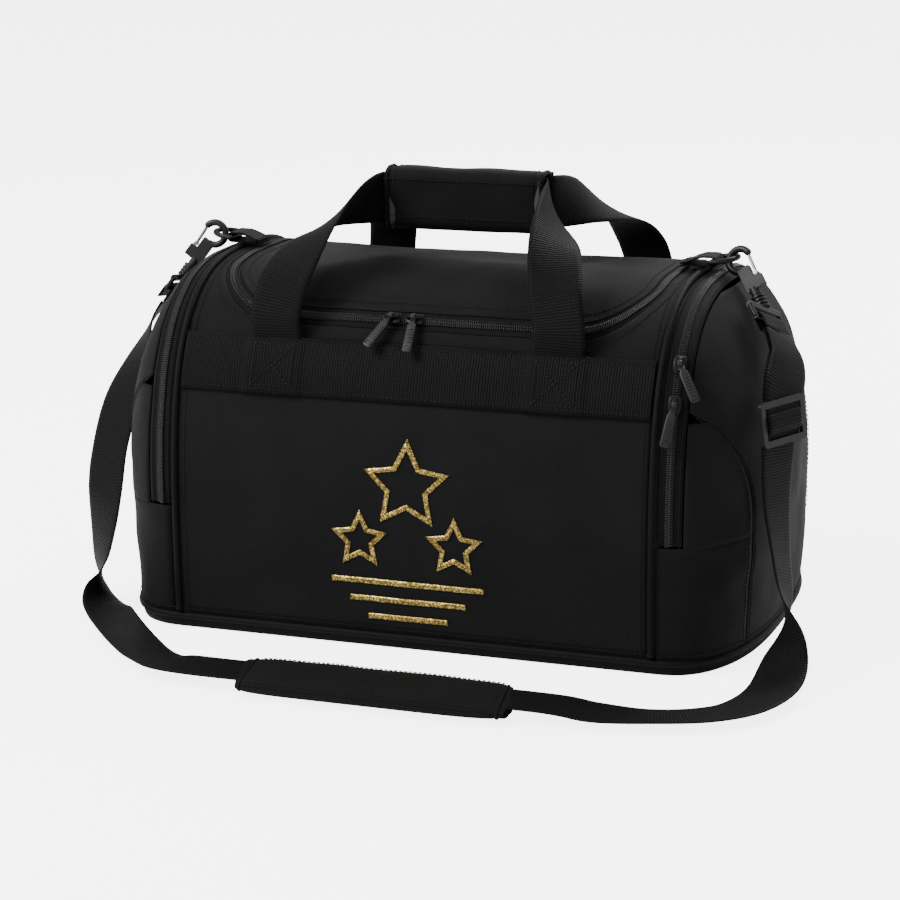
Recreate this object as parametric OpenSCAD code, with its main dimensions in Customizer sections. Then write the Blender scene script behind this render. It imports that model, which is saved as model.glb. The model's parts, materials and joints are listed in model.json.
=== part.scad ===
// Sports holdall with a carry-handle pair, a lid zip, two end pockets and a shoulder strap.
// Frame in mm: origin on the floor under the middle of the bag, X along it, front at -Y, Z up.

/* [Bag body] */
// half the length of the front panel, seam to seam
panel_half = 180; // [165:1:195]
// how far an end pocket stands out past its seam
end_bulge = 66; // [60:1:72]
// half the depth of the bag at its widest
half_depth = 140; // [134:1:146]
// height of the closed lid above the floor
body_h = 262; // [256:1:268]
// fabric with its coating
fabric_t = 2; // [1.6:0.1:2.2]
// radius of the seam piping
piping_r = 2.4; // [2:0.1:2.8]

/* [Lid] */
// half the length of the lid between its end zips
lid_half = 158; // [150:1:160]
// distance of the lid's front edge from the middle
lid_front = 95; // [90:1:97]
// plan radius of the lid's front corners
lid_corner = 45; // [35:1:55]

/* [Webbing] */
// width of the band, the handles and the shoulder strap
web_w = 38; // [36:1:40]
// thickness of one layer of webbing
web_t = 1.6; // [1.2:0.1:1.8]
// height of the bottom edge of the band
band_z = 180; // [176:1:184]
// distance of each handle leg from the middle
handle_x = 106; // [100:1:110]

/* [Zips] */
// width of a slider across the coil
slider_w = 9; // [8:0.5:10]
// length of a zip pull
pull_len = 30; // [24:1:32]

/* [Part] */
// which part to draw

/* [Hidden] */
$fn = 32;
spring_z = 60;      // the walls start to lean in here
arch_n = 3;         // squareness of the cross-section
plan_n = 2.6;       // squareness of the end pockets seen from above
dome_n = 2.3;       // squareness of the end pockets seen from the front
dome_z = 90;        // the end pockets bulge most here
wall_z = 12;        // the wall panels start above the base rim
split_z = 199;      // the front panel meets the top gusset under the band
lid_back = 97;
zip_line = 5.4;     // the coil runs this far outside the lid's edge
pocket_zip_z = 95;  // the pocket zips stop here
pocket_zip_x = 12;  // distance of a pocket coil from its piping
tape_in = 3.4;
tape_out = 21;
corner_z = 187;     // the corner panels end in a point here
grip_z = 305;
pin_r = 0.8;
pin_gap = 0.05;
pull_lift = 2.6;    // height of a pull's pin over its slider plate

// ---- curves -----------------------------------------------------------------------------

function unit(v) = v / norm(v);
function sgn(a) = a < 0 ? -1 : 1;

// half depth of the bag at a height, and height of the arch at a depth
function arch_y(z) = z < spring_z
  ? half_depth - 2 * pow(1 - z / spring_z, 2)
  : half_depth * pow(1 - pow((z - spring_z) / (body_h - spring_z), arch_n), 1 / arch_n);
function arch_z(y) = spring_z
  + (body_h - spring_z) * pow(1 - pow(abs(y) / half_depth, arch_n), 1 / arch_n);

// outward unit normal of the arch at a point [y, z]
function arch_normal(p) = p[1] <= spring_z ? [sgn(p[0]), 0]
  : unit([sgn(p[0]) * pow(abs(p[0]) / half_depth, arch_n - 1) / half_depth,
      pow((p[1] - spring_z) / (body_h - spring_z), arch_n - 1) / (body_h - spring_z)]);

// point of the arch by angle: -90 is the front spring line, 0 the top, 90 the back
function arch_at(a) = [sgn(a) * half_depth * pow(abs(sin(a)), 2 / arch_n),
  spring_z + (body_h - spring_z) * pow(abs(cos(a)), 2 / arch_n)];
function angle_of_z(z) = acos(pow((z - spring_z) / (body_h - spring_z), arch_n / 2));
function arch_run(a0, a1, n) = [for (i = [0:n]) arch_at(a0 + (a1 - a0) * i / n)];

// end pockets: bulge past the seam at a height, and height where a bulge ends
function bulge(z) = z < dome_z
  ? end_bulge - 6 * pow(1 - z / dome_z, 2)
  : end_bulge * pow(1 - pow((z - dome_z) / (body_h - dome_z), dome_n), 1 / dome_n);
function bulge_top(x) = dome_z
  + (body_h - dome_z) * pow(1 - pow(x / end_bulge, dome_n), 1 / dome_n);

// end pocket surface by plan angle (-90 at the front seam) or by distance from the seam
function dome(a, z) = [panel_half + bulge(z) * pow(abs(cos(a)), 2 / plan_n),
  sgn(a) * arch_y(z) * pow(abs(sin(a)), 2 / plan_n), z];
function dome_angle(x, z) = x >= bulge(z) ? 0 : acos(pow(x / bulge(z), plan_n / 2));
function dome_front(x, z) = dome(-dome_angle(x, z), z);

// line round the end pocket at one distance from the seam, k from -1 (front) to 1 (back)
function rim(k, x, low) = let (z = low + (bulge_top(x) - low) * pow(cos(90 * k), 2 / arch_n))
  dome(sgn(k) * dome_angle(x, z), z);

// plan angle of the curved seam between a corner panel and the end panel
function seam_angle(z) = z < 100 ? 32
  : 32 + 52 * (1 - sqrt(1 - pow(min(1, (z - 100) / (corner_z - 100)), 2)));

// ---- solids from curves -----------------------------------------------------------------

// grid of outer points made into a shell between two offsets along the surface normal
module shell(grid, low, high) {
  rows = len(grid);
  cols = len(grid[0]);
  normal = [for (i = [0:rows - 1]) [for (j = [0:cols - 1])
    unit(cross(grid[min(i + 1, rows - 1)][j] - grid[max(i - 1, 0)][j],
      grid[i][min(j + 1, cols - 1)] - grid[i][max(j - 1, 0)]))]];
  points = [for (side = [high, low]) for (i = [0:rows - 1]) for (j = [0:cols - 1])
    grid[i][j] + side * normal[i][j]];
  count = rows * cols;
  function at(i, j, s) = s * count + i * cols + j;
  faces = concat(
    [for (i = [0:rows - 2]) for (j = [0:cols - 2]) for (t = [0, 1]) t == 0
      ? [at(i, j, 0), at(i, j + 1, 0), at(i + 1, j + 1, 0)]
      : [at(i, j, 0), at(i + 1, j + 1, 0), at(i + 1, j, 0)]],
    [for (i = [0:rows - 2]) for (j = [0:cols - 2]) for (t = [0, 1]) t == 0
      ? [at(i, j, 1), at(i + 1, j + 1, 1), at(i, j + 1, 1)]
      : [at(i, j, 1), at(i + 1, j, 1), at(i + 1, j + 1, 1)]],
    [for (j = [0:cols - 2]) for (t = [0, 1]) t == 0
      ? [at(0, j, 0), at(0, j, 1), at(0, j + 1, 1)]
      : [at(0, j, 0), at(0, j + 1, 1), at(0, j + 1, 0)]],
    [for (j = [0:cols - 2]) for (t = [0, 1]) t == 0
      ? [at(rows - 1, j, 0), at(rows - 1, j + 1, 1), at(rows - 1, j, 1)]
      : [at(rows - 1, j, 0), at(rows - 1, j + 1, 0), at(rows - 1, j + 1, 1)]],
    [for (i = [0:rows - 2]) for (t = [0, 1]) t == 0
      ? [at(i, 0, 0), at(i + 1, 0, 1), at(i, 0, 1)]
      : [at(i, 0, 0), at(i + 1, 0, 0), at(i + 1, 0, 1)]],
    [for (i = [0:rows - 2]) for (t = [0, 1]) t == 0
      ? [at(i, cols - 1, 0), at(i, cols - 1, 1), at(i + 1, cols - 1, 1)]
      : [at(i, cols - 1, 0), at(i + 1, cols - 1, 1), at(i + 1, cols - 1, 0)]]);
  polyhedron(points, faces, convexity = 6);
}

// one closed section per ring, joined into a tube with flat ends or into a closed ring
module loft(rings, closed = false) {
  n = len(rings);
  m = len(rings[0]);
  last = closed ? n - 1 : n - 2;
  sides = [for (i = [0:last]) for (j = [0:m - 1]) for (t = [0, 1])
    let (a = i * m, b = ((i + 1) % n) * m, k = (j + 1) % m)
    t == 0 ? [a + j, a + k, b + k] : [a + j, b + k, b + j]];
  caps = closed ? [] : [[for (j = [m - 1:-1:0]) j], [for (j = [0:m - 1]) (n - 1) * m + j]];
  polyhedron([for (r = rings) each r], concat(sides, caps), convexity = 8);
}

function tangent(path, i, closed) = let (n = len(path))
  closed ? unit(path[(i + 1) % n] - path[(i + n - 1) % n])
    : unit(path[min(i + 1, n - 1)] - path[max(i - 1, 0)]);

// round tube along a path that lies in a plane with the given normal
module tube(path, r, normal, sides = 8, closed = false) {
  loft([for (i = [0:len(path) - 1])
    let (u = unit(cross(tangent(path, i, closed), normal)))
    [for (j = [0:sides - 1]) path[i] + r * (cos(360 * j / sides) * u
      + sin(360 * j / sides) * normal)]], closed);
}

// flat webbing along a path, each entry a centre and the direction of its width
module ribbon(path, w, t) {
  bevel = t / 4;
  loft([for (i = [0:len(path) - 1]) let (
      p = path[i][0],
      d = unit(path[min(i + 1, len(path) - 1)][0] - path[max(i - 1, 0)][0]),
      n = unit(cross(path[i][1], d)),
      s = unit(cross(d, n)))
    [for (c = [[1, -1], [1, 1], [-1, 1], [-1, -1]]) for (e = [0, 1])
      let (first = (c[0] * c[1] < 0) == (e == 1))
      p + s * c[0] * (w / 2 - (first ? 0 : bevel)) + n * c[1] * (t / 2 - (first ? bevel : 0))]]);
}

// smooth curve through route points, each a plain list of numbers
function curve(pts, steps) = [for (i = [0:len(pts) - 2]) for (k = [0:steps - 1])
  let (a = pts[max(i - 1, 0)], b = pts[i], c = pts[i + 1],
    d = pts[min(i + 2, len(pts) - 1)], u = k / steps)
  0.5 * (2 * b + (c - a) * u + (2 * a - 5 * b + 4 * c - d) * u * u
    + (3 * b - a - 3 * c + d) * u * u * u), each [pts[len(pts) - 1]]];
function route(pts, steps) = [for (q = curve(pts, steps)) [[q[0], q[1], q[2]], [q[3], q[4], q[5]]]];

// strip of the arch between two offsets, from one X to another
module arch_strip(pts, low, high, x0, x1) {
  outer = [for (p = pts) p + high * arch_normal(p)];
  inner = [for (i = [len(pts) - 1:-1:0]) pts[i] + low * arch_normal(pts[i])];
  translate([x0, 0, 0]) rotate([90, 0, 90]) linear_extrude(x1 - x0)
    polygon(concat(outer, inner));
}

// plan outline of the lid grown by g, its back edge moved by back
module lid_outline(g, back = 0) {
  depth = lid_front + lid_back + back - lid_corner;
  translate([-lid_half - g, -lid_front + lid_corner]) square([2 * (lid_half + g), depth]);
  translate([-lid_half + lid_corner, -lid_front - g])
    square([2 * (lid_half - lid_corner), lid_corner + g + 1]);
  for (s = [-1, 1]) translate([s * (lid_half - lid_corner), -lid_front + lid_corner])
    circle(lid_corner + g, $fn = 64);
}
module lid_prism(g, back = 0) {
  translate([0, 0, 180]) linear_extrude(120) lid_outline(g, back);
}
module lid_ring(low, high, g0, g1) {
  difference() {
    intersection() {
      arch_strip(arch_run(-50, 50, 20), low, high, -panel_half, panel_half);
      lid_prism(g1);
    }
    lid_prism(g0, 1);
  }
}

// places its children on the arch with local Z along the normal and local Y up the slope
module on_arch(x, y) {
  p = [y, arch_z(y)];
  n = arch_normal(p);
  translate([x, p[0], p[1]]) rotate([atan2(-n[0], n[1]), 0, 0]) children();
}

// places its children on the front of the right end pocket, local X up along the zip
module on_pocket(z) {
  x = pocket_zip_x;
  along = unit(dome_front(x, z + 2) - dome_front(x, z - 2));
  across = unit(dome_front(x + 1, z) - dome_front(x - 1, z));
  n = unit(cross(across, along));
  side = cross(n, along);
  p = dome_front(x, z);
  multmatrix([[along[0], side[0], n[0], p[0]], [along[1], side[1], n[1], p[1]],
    [along[2], side[2], n[2], p[2]]]) children();
}

// ---- base -------------------------------------------------------------------------------

function base_outline(inset) = concat(
  [for (i = [-12:12]) let (p = dome(i * 7.5, 0)) unit_in(p, inset)],
  [for (i = [12:-1:-12]) let (p = dome(i * 7.5, 0), q = unit_in(p, inset)) [-q[0], q[1]]]);
function unit_in(p, inset) = [panel_half + (p[0] - panel_half) * (1 - inset / end_bulge),
  p[1] * (1 - inset / half_depth)];

module bottom_panel() {
  color("#17171a") difference() {
    linear_extrude(7) polygon(base_outline(0));
    translate([0, 0, fabric_t]) linear_extrude(7) polygon(base_outline(fabric_t));
  }
}
module base_board() {
  color("#3a3a3c") translate([0, 0, fabric_t + 0.1]) linear_extrude(2.4)
    polygon(base_outline(6));
}
module base_piping() {
  path = concat([for (i = [-12:12]) dome(i * 7.5, 9.5)],
    [for (i = [12:-1:-12]) let (p = dome(i * 7.5, 9.5)) [-p[0], p[1], p[2]]]);
  color("#101012") tube(path, piping_r, [0, 0, 1], closed = true);
}

// ---- main compartment -------------------------------------------------------------------

module wall_panel() {
  top = -angle_of_z(split_z - 0.3);
  pts = concat([[-arch_y(wall_z), wall_z], [-arch_y(35), 35]], arch_run(-90, top, 8));
  arch_strip(pts, -fabric_t, 0, -panel_half + piping_r + 0.4, panel_half - piping_r - 0.4);
}
module front_panel() {
  color("#1a1a1d") wall_panel();
}
module back_panel() {
  color("#1a1a1d") mirror([0, 1, 0]) wall_panel();
}
module top_gusset() {
  edge = angle_of_z(split_z);
  color("#1c1c1f") difference() {
    arch_strip(arch_run(-edge, edge, 24), -fabric_t, 0,
      -panel_half + piping_r + 0.4, panel_half - piping_r - 0.4);
    lid_prism(11, 0.8);
  }
}
module divider() {
  top = arch_run(-90, 90, 24);
  pts = concat([[-arch_y(8), 8]], top, [[arch_y(8), 8]]);
  translate([panel_half - 0.6, 0, 0]) rotate([90, 0, 90]) linear_extrude(1.2)
    polygon([for (p = pts) [p[0] * (1 - 5 / half_depth), 9 + (p[1] - 8) * 0.972]]);
}
module left_divider() {
  color("#232326") mirror([1, 0, 0]) divider();
}
module right_divider() {
  color("#232326") divider();
}
module piping() {
  pts = concat([[-arch_y(13), 13], [-arch_y(35), 35]], arch_run(-90, 90, 30),
    [[arch_y(35), 35], [arch_y(13), 13]]);
  path = [for (p = pts) let (q = p + arch_normal(p) * 0.8) [panel_half, q[0], q[1]]];
  tube(path, piping_r, [1, 0, 0]);
}
module left_piping() {
  color("#101012") mirror([1, 0, 0]) piping();
}
module right_piping() {
  color("#101012") piping();
}

// ---- end pockets ------------------------------------------------------------------------

module end_panel() {
  rows = [wall_z, 30, 50, 75, 100, 120, 138, 153, 166, 176, 183, 187, 196, 207, 218, 229, 239,
    246, 251, 254];
  shell([for (z = rows) let (a = z <= corner_z ? min(seam_angle(z), dome_angle(tape_out + 1, z))
      : dome_angle(tape_out + 1, z))
    [for (j = [-10:10]) dome(a * j / 10, z)]], -fabric_t, 0);
}
module corner_panel() {
  low = [wall_z, 30, 50, 72, pocket_zip_z - 3];
  high = [pocket_zip_z - 3, 108, 122, 136, 150, 162, 172, 179];
  shell([for (z = low) let (a = dome_angle(tape_in, z), b = seam_angle(z) + 0.5)
    [for (j = [0:10]) dome(-(a + (b - a) * j / 10), z)]], -fabric_t, 0);
  shell([for (z = high) let (a = dome_angle(tape_out + 1, z), b = seam_angle(z) + 0.5)
    [for (j = [0:6]) dome(-(a + (b - a) * j / 6), z)]], -fabric_t, 0);
}
module pocket_strip(x0, x1, low, high) {
  shell([for (i = [-16:16]) [for (x = [x0, (x0 + x1) / 2, x1]) rim(i / 16, x, pocket_zip_z)]],
    low, high);
}
module pocket_tapes() {
  pocket_strip(tape_in, pocket_zip_x - 0.4, -1.6, -0.5);
  pocket_strip(pocket_zip_x + 0.4, tape_out, -1.6, -0.5);
}
module pocket_coil() {
  pocket_strip(pocket_zip_x - 2.2, pocket_zip_x + 2.2, -0.3, 1.2);
}
module left_end_panel() {
  color("#1a1a1d") mirror([1, 0, 0]) end_panel();
}
module right_end_panel() {
  color("#1a1a1d") end_panel();
}
module left_corner_front() {
  color("#1c1c1f") mirror([1, 0, 0]) corner_panel();
}
module left_corner_back() {
  color("#1c1c1f") mirror([1, 0, 0]) mirror([0, 1, 0]) corner_panel();
}
module right_corner_front() {
  color("#1c1c1f") corner_panel();
}
module right_corner_back() {
  color("#1c1c1f") mirror([0, 1, 0]) corner_panel();
}
module left_pocket_tapes() {
  color("#202024") mirror([1, 0, 0]) pocket_tapes();
}
module right_pocket_tapes() {
  color("#202024") pocket_tapes();
}
module left_pocket_coil() {
  color("#0c0c0e") mirror([1, 0, 0]) pocket_coil();
}
module right_pocket_coil() {
  color("#0c0c0e") pocket_coil();
}

// ---- lid and its zip --------------------------------------------------------------------

module lid_panel() {
  color("#1d1d20") intersection() {
    arch_strip(arch_run(-50, 50, 20), -fabric_t, 0, -lid_half, lid_half);
    lid_prism(0);
  }
}
module lid_zip_tape() {
  color("#202024") lid_ring(-1.6, -0.5, 0.2, zip_line - 0.3);
}
module lid_zip_coil() {
  color("#0c0c0e") lid_ring(-0.4, 1.2, zip_line - 2.2, zip_line - 0.2);
}
module main_zip_tape() {
  color("#202024") lid_ring(-1.6, -0.5, zip_line + 0.3, 10.8);
}
module main_zip_coil() {
  color("#0c0c0e") lid_ring(-0.4, 1.2, zip_line + 0.2, zip_line + 2.2);
}

// ---- webbing on the body ----------------------------------------------------------------

module band() {
  pts = arch_run(-angle_of_z(band_z), -angle_of_z(band_z + web_w), 5);
  arch_strip(pts, 0.2, 0.2 + web_t, -panel_half + piping_r + 1, panel_half - piping_r - 1);
}
module front_band() {
  color("#151517") band();
}
module back_band() {
  color("#151517") mirror([0, 1, 0]) band();
}

// short loop of webbing sewn on top of the seam, with a ring in its fold
tab_w = 22;
tab_x = 187;        // the ring's bar
tab_r = 2.5;        // inside radius of the fold
ring_bar = 1.9;
ring_r = 13;
ring_drop = -9;     // the ring's slope below level: it stands up a little
tab_z = body_h + 3.4;
bar_z = tab_z + web_t + tab_r;
module tab() {
  translate([171, -tab_w / 2, tab_z]) {
    cube([tab_x - 171, tab_w, web_t]);
    translate([0, 0, web_t + 2 * tab_r]) cube([tab_x - 171, tab_w, web_t]);
    cube([6, tab_w, 2 * (web_t + tab_r)]);
  }
  translate([tab_x, 0, bar_z]) rotate([90, 0, 0]) difference() {
    cylinder(r = tab_r + web_t, h = tab_w, center = true);
    cylinder(r = tab_r, h = tab_w + 1, center = true);
    translate([-10, -10, -tab_w]) cube([10, 20, 2 * tab_w]);
  }
}
module left_tab() {
  color("#151517") mirror([1, 0, 0]) tab();
}
module right_tab() {
  color("#151517") tab();
}
module ring() {
  side = ring_r;
  translate([tab_x, 0, bar_z]) rotate([0, ring_drop, 0]) {
    rotate([90, 0, 0]) cylinder(r = ring_bar, h = 2 * side, center = true);
    translate([4, 0, 0]) rotate([0, 0, -90]) rotate_extrude(angle = 180)
      translate([side, 0]) circle(ring_bar);
    for (s = [-1, 1]) translate([0, s * side, 0]) {
      rotate([0, 90, 0]) cylinder(r = ring_bar, h = 4);
      sphere(ring_bar);
    }
  }
}
module left_ring() {
  color("#8e8f93") mirror([1, 0, 0]) ring();
}
module right_ring() {
  color("#8e8f93") ring();
}

// generic print on the front panel: three outlined stars over three bars
star_r = 34;
print_half = 58;
function star(r, k) = [for (i = [0:9]) let (q = i % 2 == 0 ? r : r * k)
  [q * sin(36 * i), q * cos(36 * i)]];
module star_ring(x, z, r) {
  translate([x, z]) difference() {
    polygon(star(r, 0.5));
    polygon(star(r - 8, 0.5));
  }
}
module print_motif() {
  pts = concat([[-arch_y(wall_z), wall_z], [-arch_y(35), 35]],
    arch_run(-90, -angle_of_z(165), 8));
  color("#d9b02c") intersection() {
    arch_strip(pts, 0.2, 0.7, -print_half - 2, print_half + 2);
    rotate([90, 0, 0]) linear_extrude(half_depth + 5) {
      star_ring(0, 122, star_r);
      for (s = [-1, 1]) star_ring(s * 36, 80, star_r * 0.66);
      for (i = [0:2]) translate([-print_half + 14 * i, 48 - 13 * i])
        square([2 * (print_half - 14 * i), 4]);
    }
  }
}

// ---- carry handles ----------------------------------------------------------------------

// each handle folds about the band's top edge; its legs lean in over the lid to the grip
fold_y = 116.5;
fold_z = 221;
handle_route = [[handle_x, -fold_y, fold_z, 1, 0, 0], [handle_x, -fold_y, 238, 1, 0, 0],
  [handle_x - 5, -107, 262, 1, 0, 0], [handle_x - 14, -80, 286, 0.9, 0.1, -0.3],
  [handle_x - 26, -40, 301, 0.6, 0.2, -0.8], [67, -11, grip_z, 0.1, 0.1, -1],
  [56, -5, grip_z, 0, 0, -1], [0, -4, grip_z, 0, 0, -1]];
function mirror_route(pts) = [for (i = [len(pts) - 2:-1:0]) let (p = pts[i])
  [-p[0], p[1], p[2], -p[3], p[4], p[5]]];
module handle() {
  ribbon(route(concat(handle_route, mirror_route(handle_route)), 4), web_w, web_t);
}
module front_handle() {
  color("#18181a") handle();
}
module back_handle() {
  color("#18181a") mirror([0, 1, 0]) handle();
}

// the wrap-round grip is open at the back, where the back handle leaves it
grip_half = 61;
grip_deep = 25;
grip_tall = 47;
module rounded(w, h, r) {
  square([w - 2 * r, h], center = true);
  square([w, h - 2 * r], center = true);
  for (i = [-1, 1]) for (j = [-1, 1]) translate([i * (w / 2 - r), j * (h / 2 - r)]) circle(r);
}
module grip_slot(deep) {
  translate([deep, -web_w / 2 - 1.4]) square([40, web_w + 2.8]);
}
module along_grip(half) {
  translate([-half, 0, grip_z]) rotate([90, 0, 90]) linear_extrude(2 * half) children();
}
module grip_pad() {
  color("#26262a") along_grip(grip_half - 3) difference() {
    rounded(grip_deep - 3, grip_tall - 3, 7.5);
    grip_slot(-7.5);
  }
}
module grip_cover() {
  color("#1b1b1e") along_grip(grip_half) difference() {
    rounded(grip_deep, grip_tall, 9);
    rounded(grip_deep - 2.8, grip_tall - 2.8, 7.6);
    grip_slot(0);
  }
}

// ---- zip sliders and pulls --------------------------------------------------------------

slider_l = 13;
plate_low = 2.1;
plate_t = 1.6;
pin_z = plate_low + plate_t + pull_lift;
module slider() {
  translate([-slider_l / 2, -slider_w / 2, plate_low]) cube([slider_l, slider_w, plate_t]);
  for (s = [-1, 1]) translate([s * 4.2 - 0.8, -1.2, plate_low + plate_t - 0.2])
    cube([1.6, 2.4, pull_lift + 1.4]);
  translate([-4.6, 0, pin_z]) rotate([0, 90, 0]) cylinder(r = pin_r, h = 9.2);
}
// ribbed pull hanging from the pin, turned sideways by slant
module pull(slant) {
  eye = 2.1;
  translate([0, 0, pin_z]) difference() {
    union() {
      translate([-2.4, 0, 0]) rotate([0, 90, 0]) cylinder(r = eye, h = 4.8);
      rotate([0, 0, slant]) {
        translate([-2, -9, -0.8]) cube([4, 8, 1.6]);
        translate([-3.3, -pull_len, -1.1]) cube([6.6, pull_len - 8, 2.2]);
        for (i = [0:5]) translate([-2.4, -pull_len + 4 + 3 * i, 0.9]) cube([4.8, 1.2, 0.7]);
      }
    }
    translate([-6, 0, 0]) rotate([0, 90, 0]) cylinder(r = pin_r + pin_gap, h = 12);
  }
}
zip_y = -lid_front - zip_line;
slider_x = [-22, -5];
module main_slider(x) {
  color("#2a2a2d") on_arch(x, zip_y) slider();
}
module main_pull(x, slant) {
  color("#1f1f22") on_arch(x, zip_y) pull(slant);
}
module slider_left() {
  main_slider(slider_x[0]);
}
module slider_right() {
  main_slider(slider_x[1]);
}
module pull_left() {
  main_pull(slider_x[0], -24);
}
module pull_right() {
  main_pull(slider_x[1], 4);
}

upper_z = 216;
lower_z = 191;
module pocket_slider(z) {
  color("#2a2a2d") on_pocket(z) rotate([0, 0, -90]) slider();
}
module pocket_pull(z, slant) {
  color("#1f1f22") on_pocket(z) rotate([0, 0, -90]) pull(slant);
}
// the left pocket's sliders are at the back
module at_left_back() {
  mirror([1, 0, 0]) mirror([0, 1, 0]) children();
}
module right_slider_upper() {
  pocket_slider(upper_z);
}
module right_slider_lower() {
  pocket_slider(lower_z);
}
module left_slider_upper() {
  at_left_back() pocket_slider(upper_z);
}
module left_slider_lower() {
  at_left_back() pocket_slider(lower_z);
}
module right_pull_upper() {
  pocket_pull(upper_z, 30);
}
module right_pull_lower() {
  pocket_pull(lower_z, -8);
}
module left_pull_upper() {
  at_left_back() pocket_pull(upper_z, 30);
}
module left_pull_lower() {
  at_left_back() pocket_pull(lower_z, -8);
}

// ---- snap hooks -------------------------------------------------------------------------

hook_r = 8.5;
hook_bar = 2.6;
eye_drop = 52;
right_axis = unit([53, -43, -72]);
left_axis = unit([-57, -20, -79]);
ring_tip = [tab_x + (4 + ring_r) * cos(ring_drop), 0, bar_z - (4 + ring_r) * sin(ring_drop)];

// local Z points back up at the ring, local Y across the hook
module on_hook(side) {
  axis = side > 0 ? right_axis : left_axis;
  tip = [side * ring_tip[0], 0, ring_tip[2]] + axis * (hook_r - hook_bar - ring_bar - 1);
  y = unit([0, side, 0] - axis * side * axis[1]);
  x = cross(y, -axis);
  multmatrix([[x[0], y[0], -axis[0], tip[0]], [x[1], y[1], -axis[1], tip[1]],
    [x[2], y[2], -axis[2], tip[2]]]) children();
}
module hook() {
  rotate([90, 0, 0]) rotate([0, 0, 14]) rotate_extrude(angle = 256)
    translate([hook_r, 0]) circle(hook_bar);
  translate([hook_r * cos(14), 0, hook_r * sin(14)]) sphere(hook_bar);
  translate([-4.5, -2.6, -26]) cube([9, 5.2, 19]);
  translate([4, -2.6, -26]) cube([6, 5.2, 9]);
  translate([0, 0, -30]) cylinder(r = 3.6, h = 6);
}
gate_pin = [7.2, 0, -15];
module gate() {
  translate(gate_pin) {
    rotate([0, 3, 0]) cylinder(r = 1.2, h = 14.3);
    rotate([90, 0, 0]) cylinder(r = 1.6, h = 4, center = true);
  }
}
module swivel() {
  translate([0, 0, -42]) cylinder(r = 3.4, h = 11.6);
  for (i = [0:3]) translate([0, 0, -41.5 + 2.8 * i]) cylinder(r = 5.2, h = 1.6);
  translate([0, 0, -42.2]) rotate([90, 0, 0]) cylinder(r = 2.6, h = web_w + 6, center = true);
  translate([0, 0, -eye_drop]) rotate([90, 0, 0]) cylinder(r = 1.8, h = web_w + 6, center = true);
  for (s = [-1, 1]) translate([0, s * (web_w / 2 + 2.6), -eye_drop]) cylinder(r = 1.8, h = 10);
}
module left_hook() {
  color("#141416") on_hook(-1) difference() {
    hook();
    translate(gate_pin) rotate([90, 0, 0]) cylinder(r = 1.65, h = 12, center = true);
  }
}
module right_hook() {
  color("#141416") on_hook(1) difference() {
    hook();
    translate(gate_pin) rotate([90, 0, 0]) cylinder(r = 1.65, h = 12, center = true);
  }
}
module left_gate() {
  color("#9a9a9e") on_hook(-1) gate();
}
module right_gate() {
  color("#9a9a9e") on_hook(1) gate();
}
module left_swivel() {
  color("#141416") on_hook(-1) swivel();
}
module right_swivel() {
  color("#141416") on_hook(1) swivel();
}

// ---- shoulder strap ---------------------------------------------------------------------

pad_y = -241;
strap_z = 10;       // the strap's height where it runs through the pad
strap_route = [
  [-243.3, -14, 217.3, 0.2, -1, 0.1], [-252, -21, 203, 0.3, -0.9, 0],
  [-257, -39, 178, 0.7, -0.7, 0], [-260, -61, 150, 0.9, -0.4, 0],
  [-260, -85, 116, 0.9, -0.4, 0], [-258, -99, 88, 0.9, -0.4, 0],
  [-260, -102, 58, 0.8, -0.6, 0], [-261, -106, 32, 0.6, -0.8, 0],
  [-254, -116, 13, 0.1, -1, 0], [-238, -138, 6, -0.5, -0.9, 0.1],
  [-195, -190, 6, -0.8, -0.6, 0.1], [-160, -225, 7, -0.6, -0.8, 0.1],
  each [for (x = [-125, -40, 55, 138]) [x, pad_y, strap_z, 0, -1, 0]],
  [170, -240, 7, 0.1, -1, 0], [205, -234, 6, 0.2, -1, 0.1],
  [240, -220, 6, 0.6, -0.8, 0.1], [262, -195, 6, 0.9, -0.4, 0.1],
  [272, -155, 8, 1, -0.2, 0.1], [271, -124, 22, 0.8, -0.7, 0],
  [266, -100, 50, 0.1, -1, 0], [258, -86, 85, -0.1, -1, 0],
  [253, -78, 120, -0.3, -1, 0], [253, -75, 155, -0.4, -0.9, 0],
  [252, -68, 188, -0.4, -0.9, 0], [250, -44, 208, -0.3, -0.9, 0.2],
  [240.7, -29.9, 222.1, -0.26, -0.9, 0.35]];
module shoulder_strap() {
  color("#17171a") ribbon(route(strap_route, 3), web_w, web_t);
}

// webbing folded back through a swivel's eye and sewn to itself
module strap_end(side) {
  axis = side > 0 ? right_axis : left_axis;
  color("#17171a") on_hook(side) translate([0, 0, -eye_drop]) rotate([90, 0, 0]) {
    difference() {
      cylinder(r = 2.1 + web_t, h = web_w - 1, center = true);
      cylinder(r = 2.1, h = web_w + 1, center = true);
      translate([-5, -10, -web_w]) cube([10, 9, 2 * web_w]);
    }
    for (s = [-1, 1]) translate([s * (2.1 + web_t / 2), -5.5, 0])
      cube([web_t, 9.2, web_w - 1], center = true);
  }
}
module strap_end_left() {
  strap_end(-1);
}
module strap_end_right() {
  strap_end(1);
}

// three-bar slider the strap is threaded through
module tri_glide() {
  w = web_w + 10;
  color("#131315") translate([254, -72.9, 172.7]) rotate([0, 0, 65.5]) rotate([82, 0, 0])
    linear_extrude(3) difference() {
      rounded(w, 32, 4);
      for (s = [-1, 1]) translate([0, s * 7.5]) square([web_w + 1, 7.5], center = true);
    }
}

// padded sleeve that slides along the strap
module shoulder_pad() {
  len = 205;
  wide = 60;
  translate_x = 13;
  color("#1b1b1e") translate([translate_x, pad_y, 0]) difference() {
    translate([0, 0, 1]) linear_extrude(13) rounded(len, wide, 26);
    translate([-len, -web_w / 2 - 1.2, strap_z - 2.1]) cube([2 * len, web_w + 2.4, 4.2]);
  }
}

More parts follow.
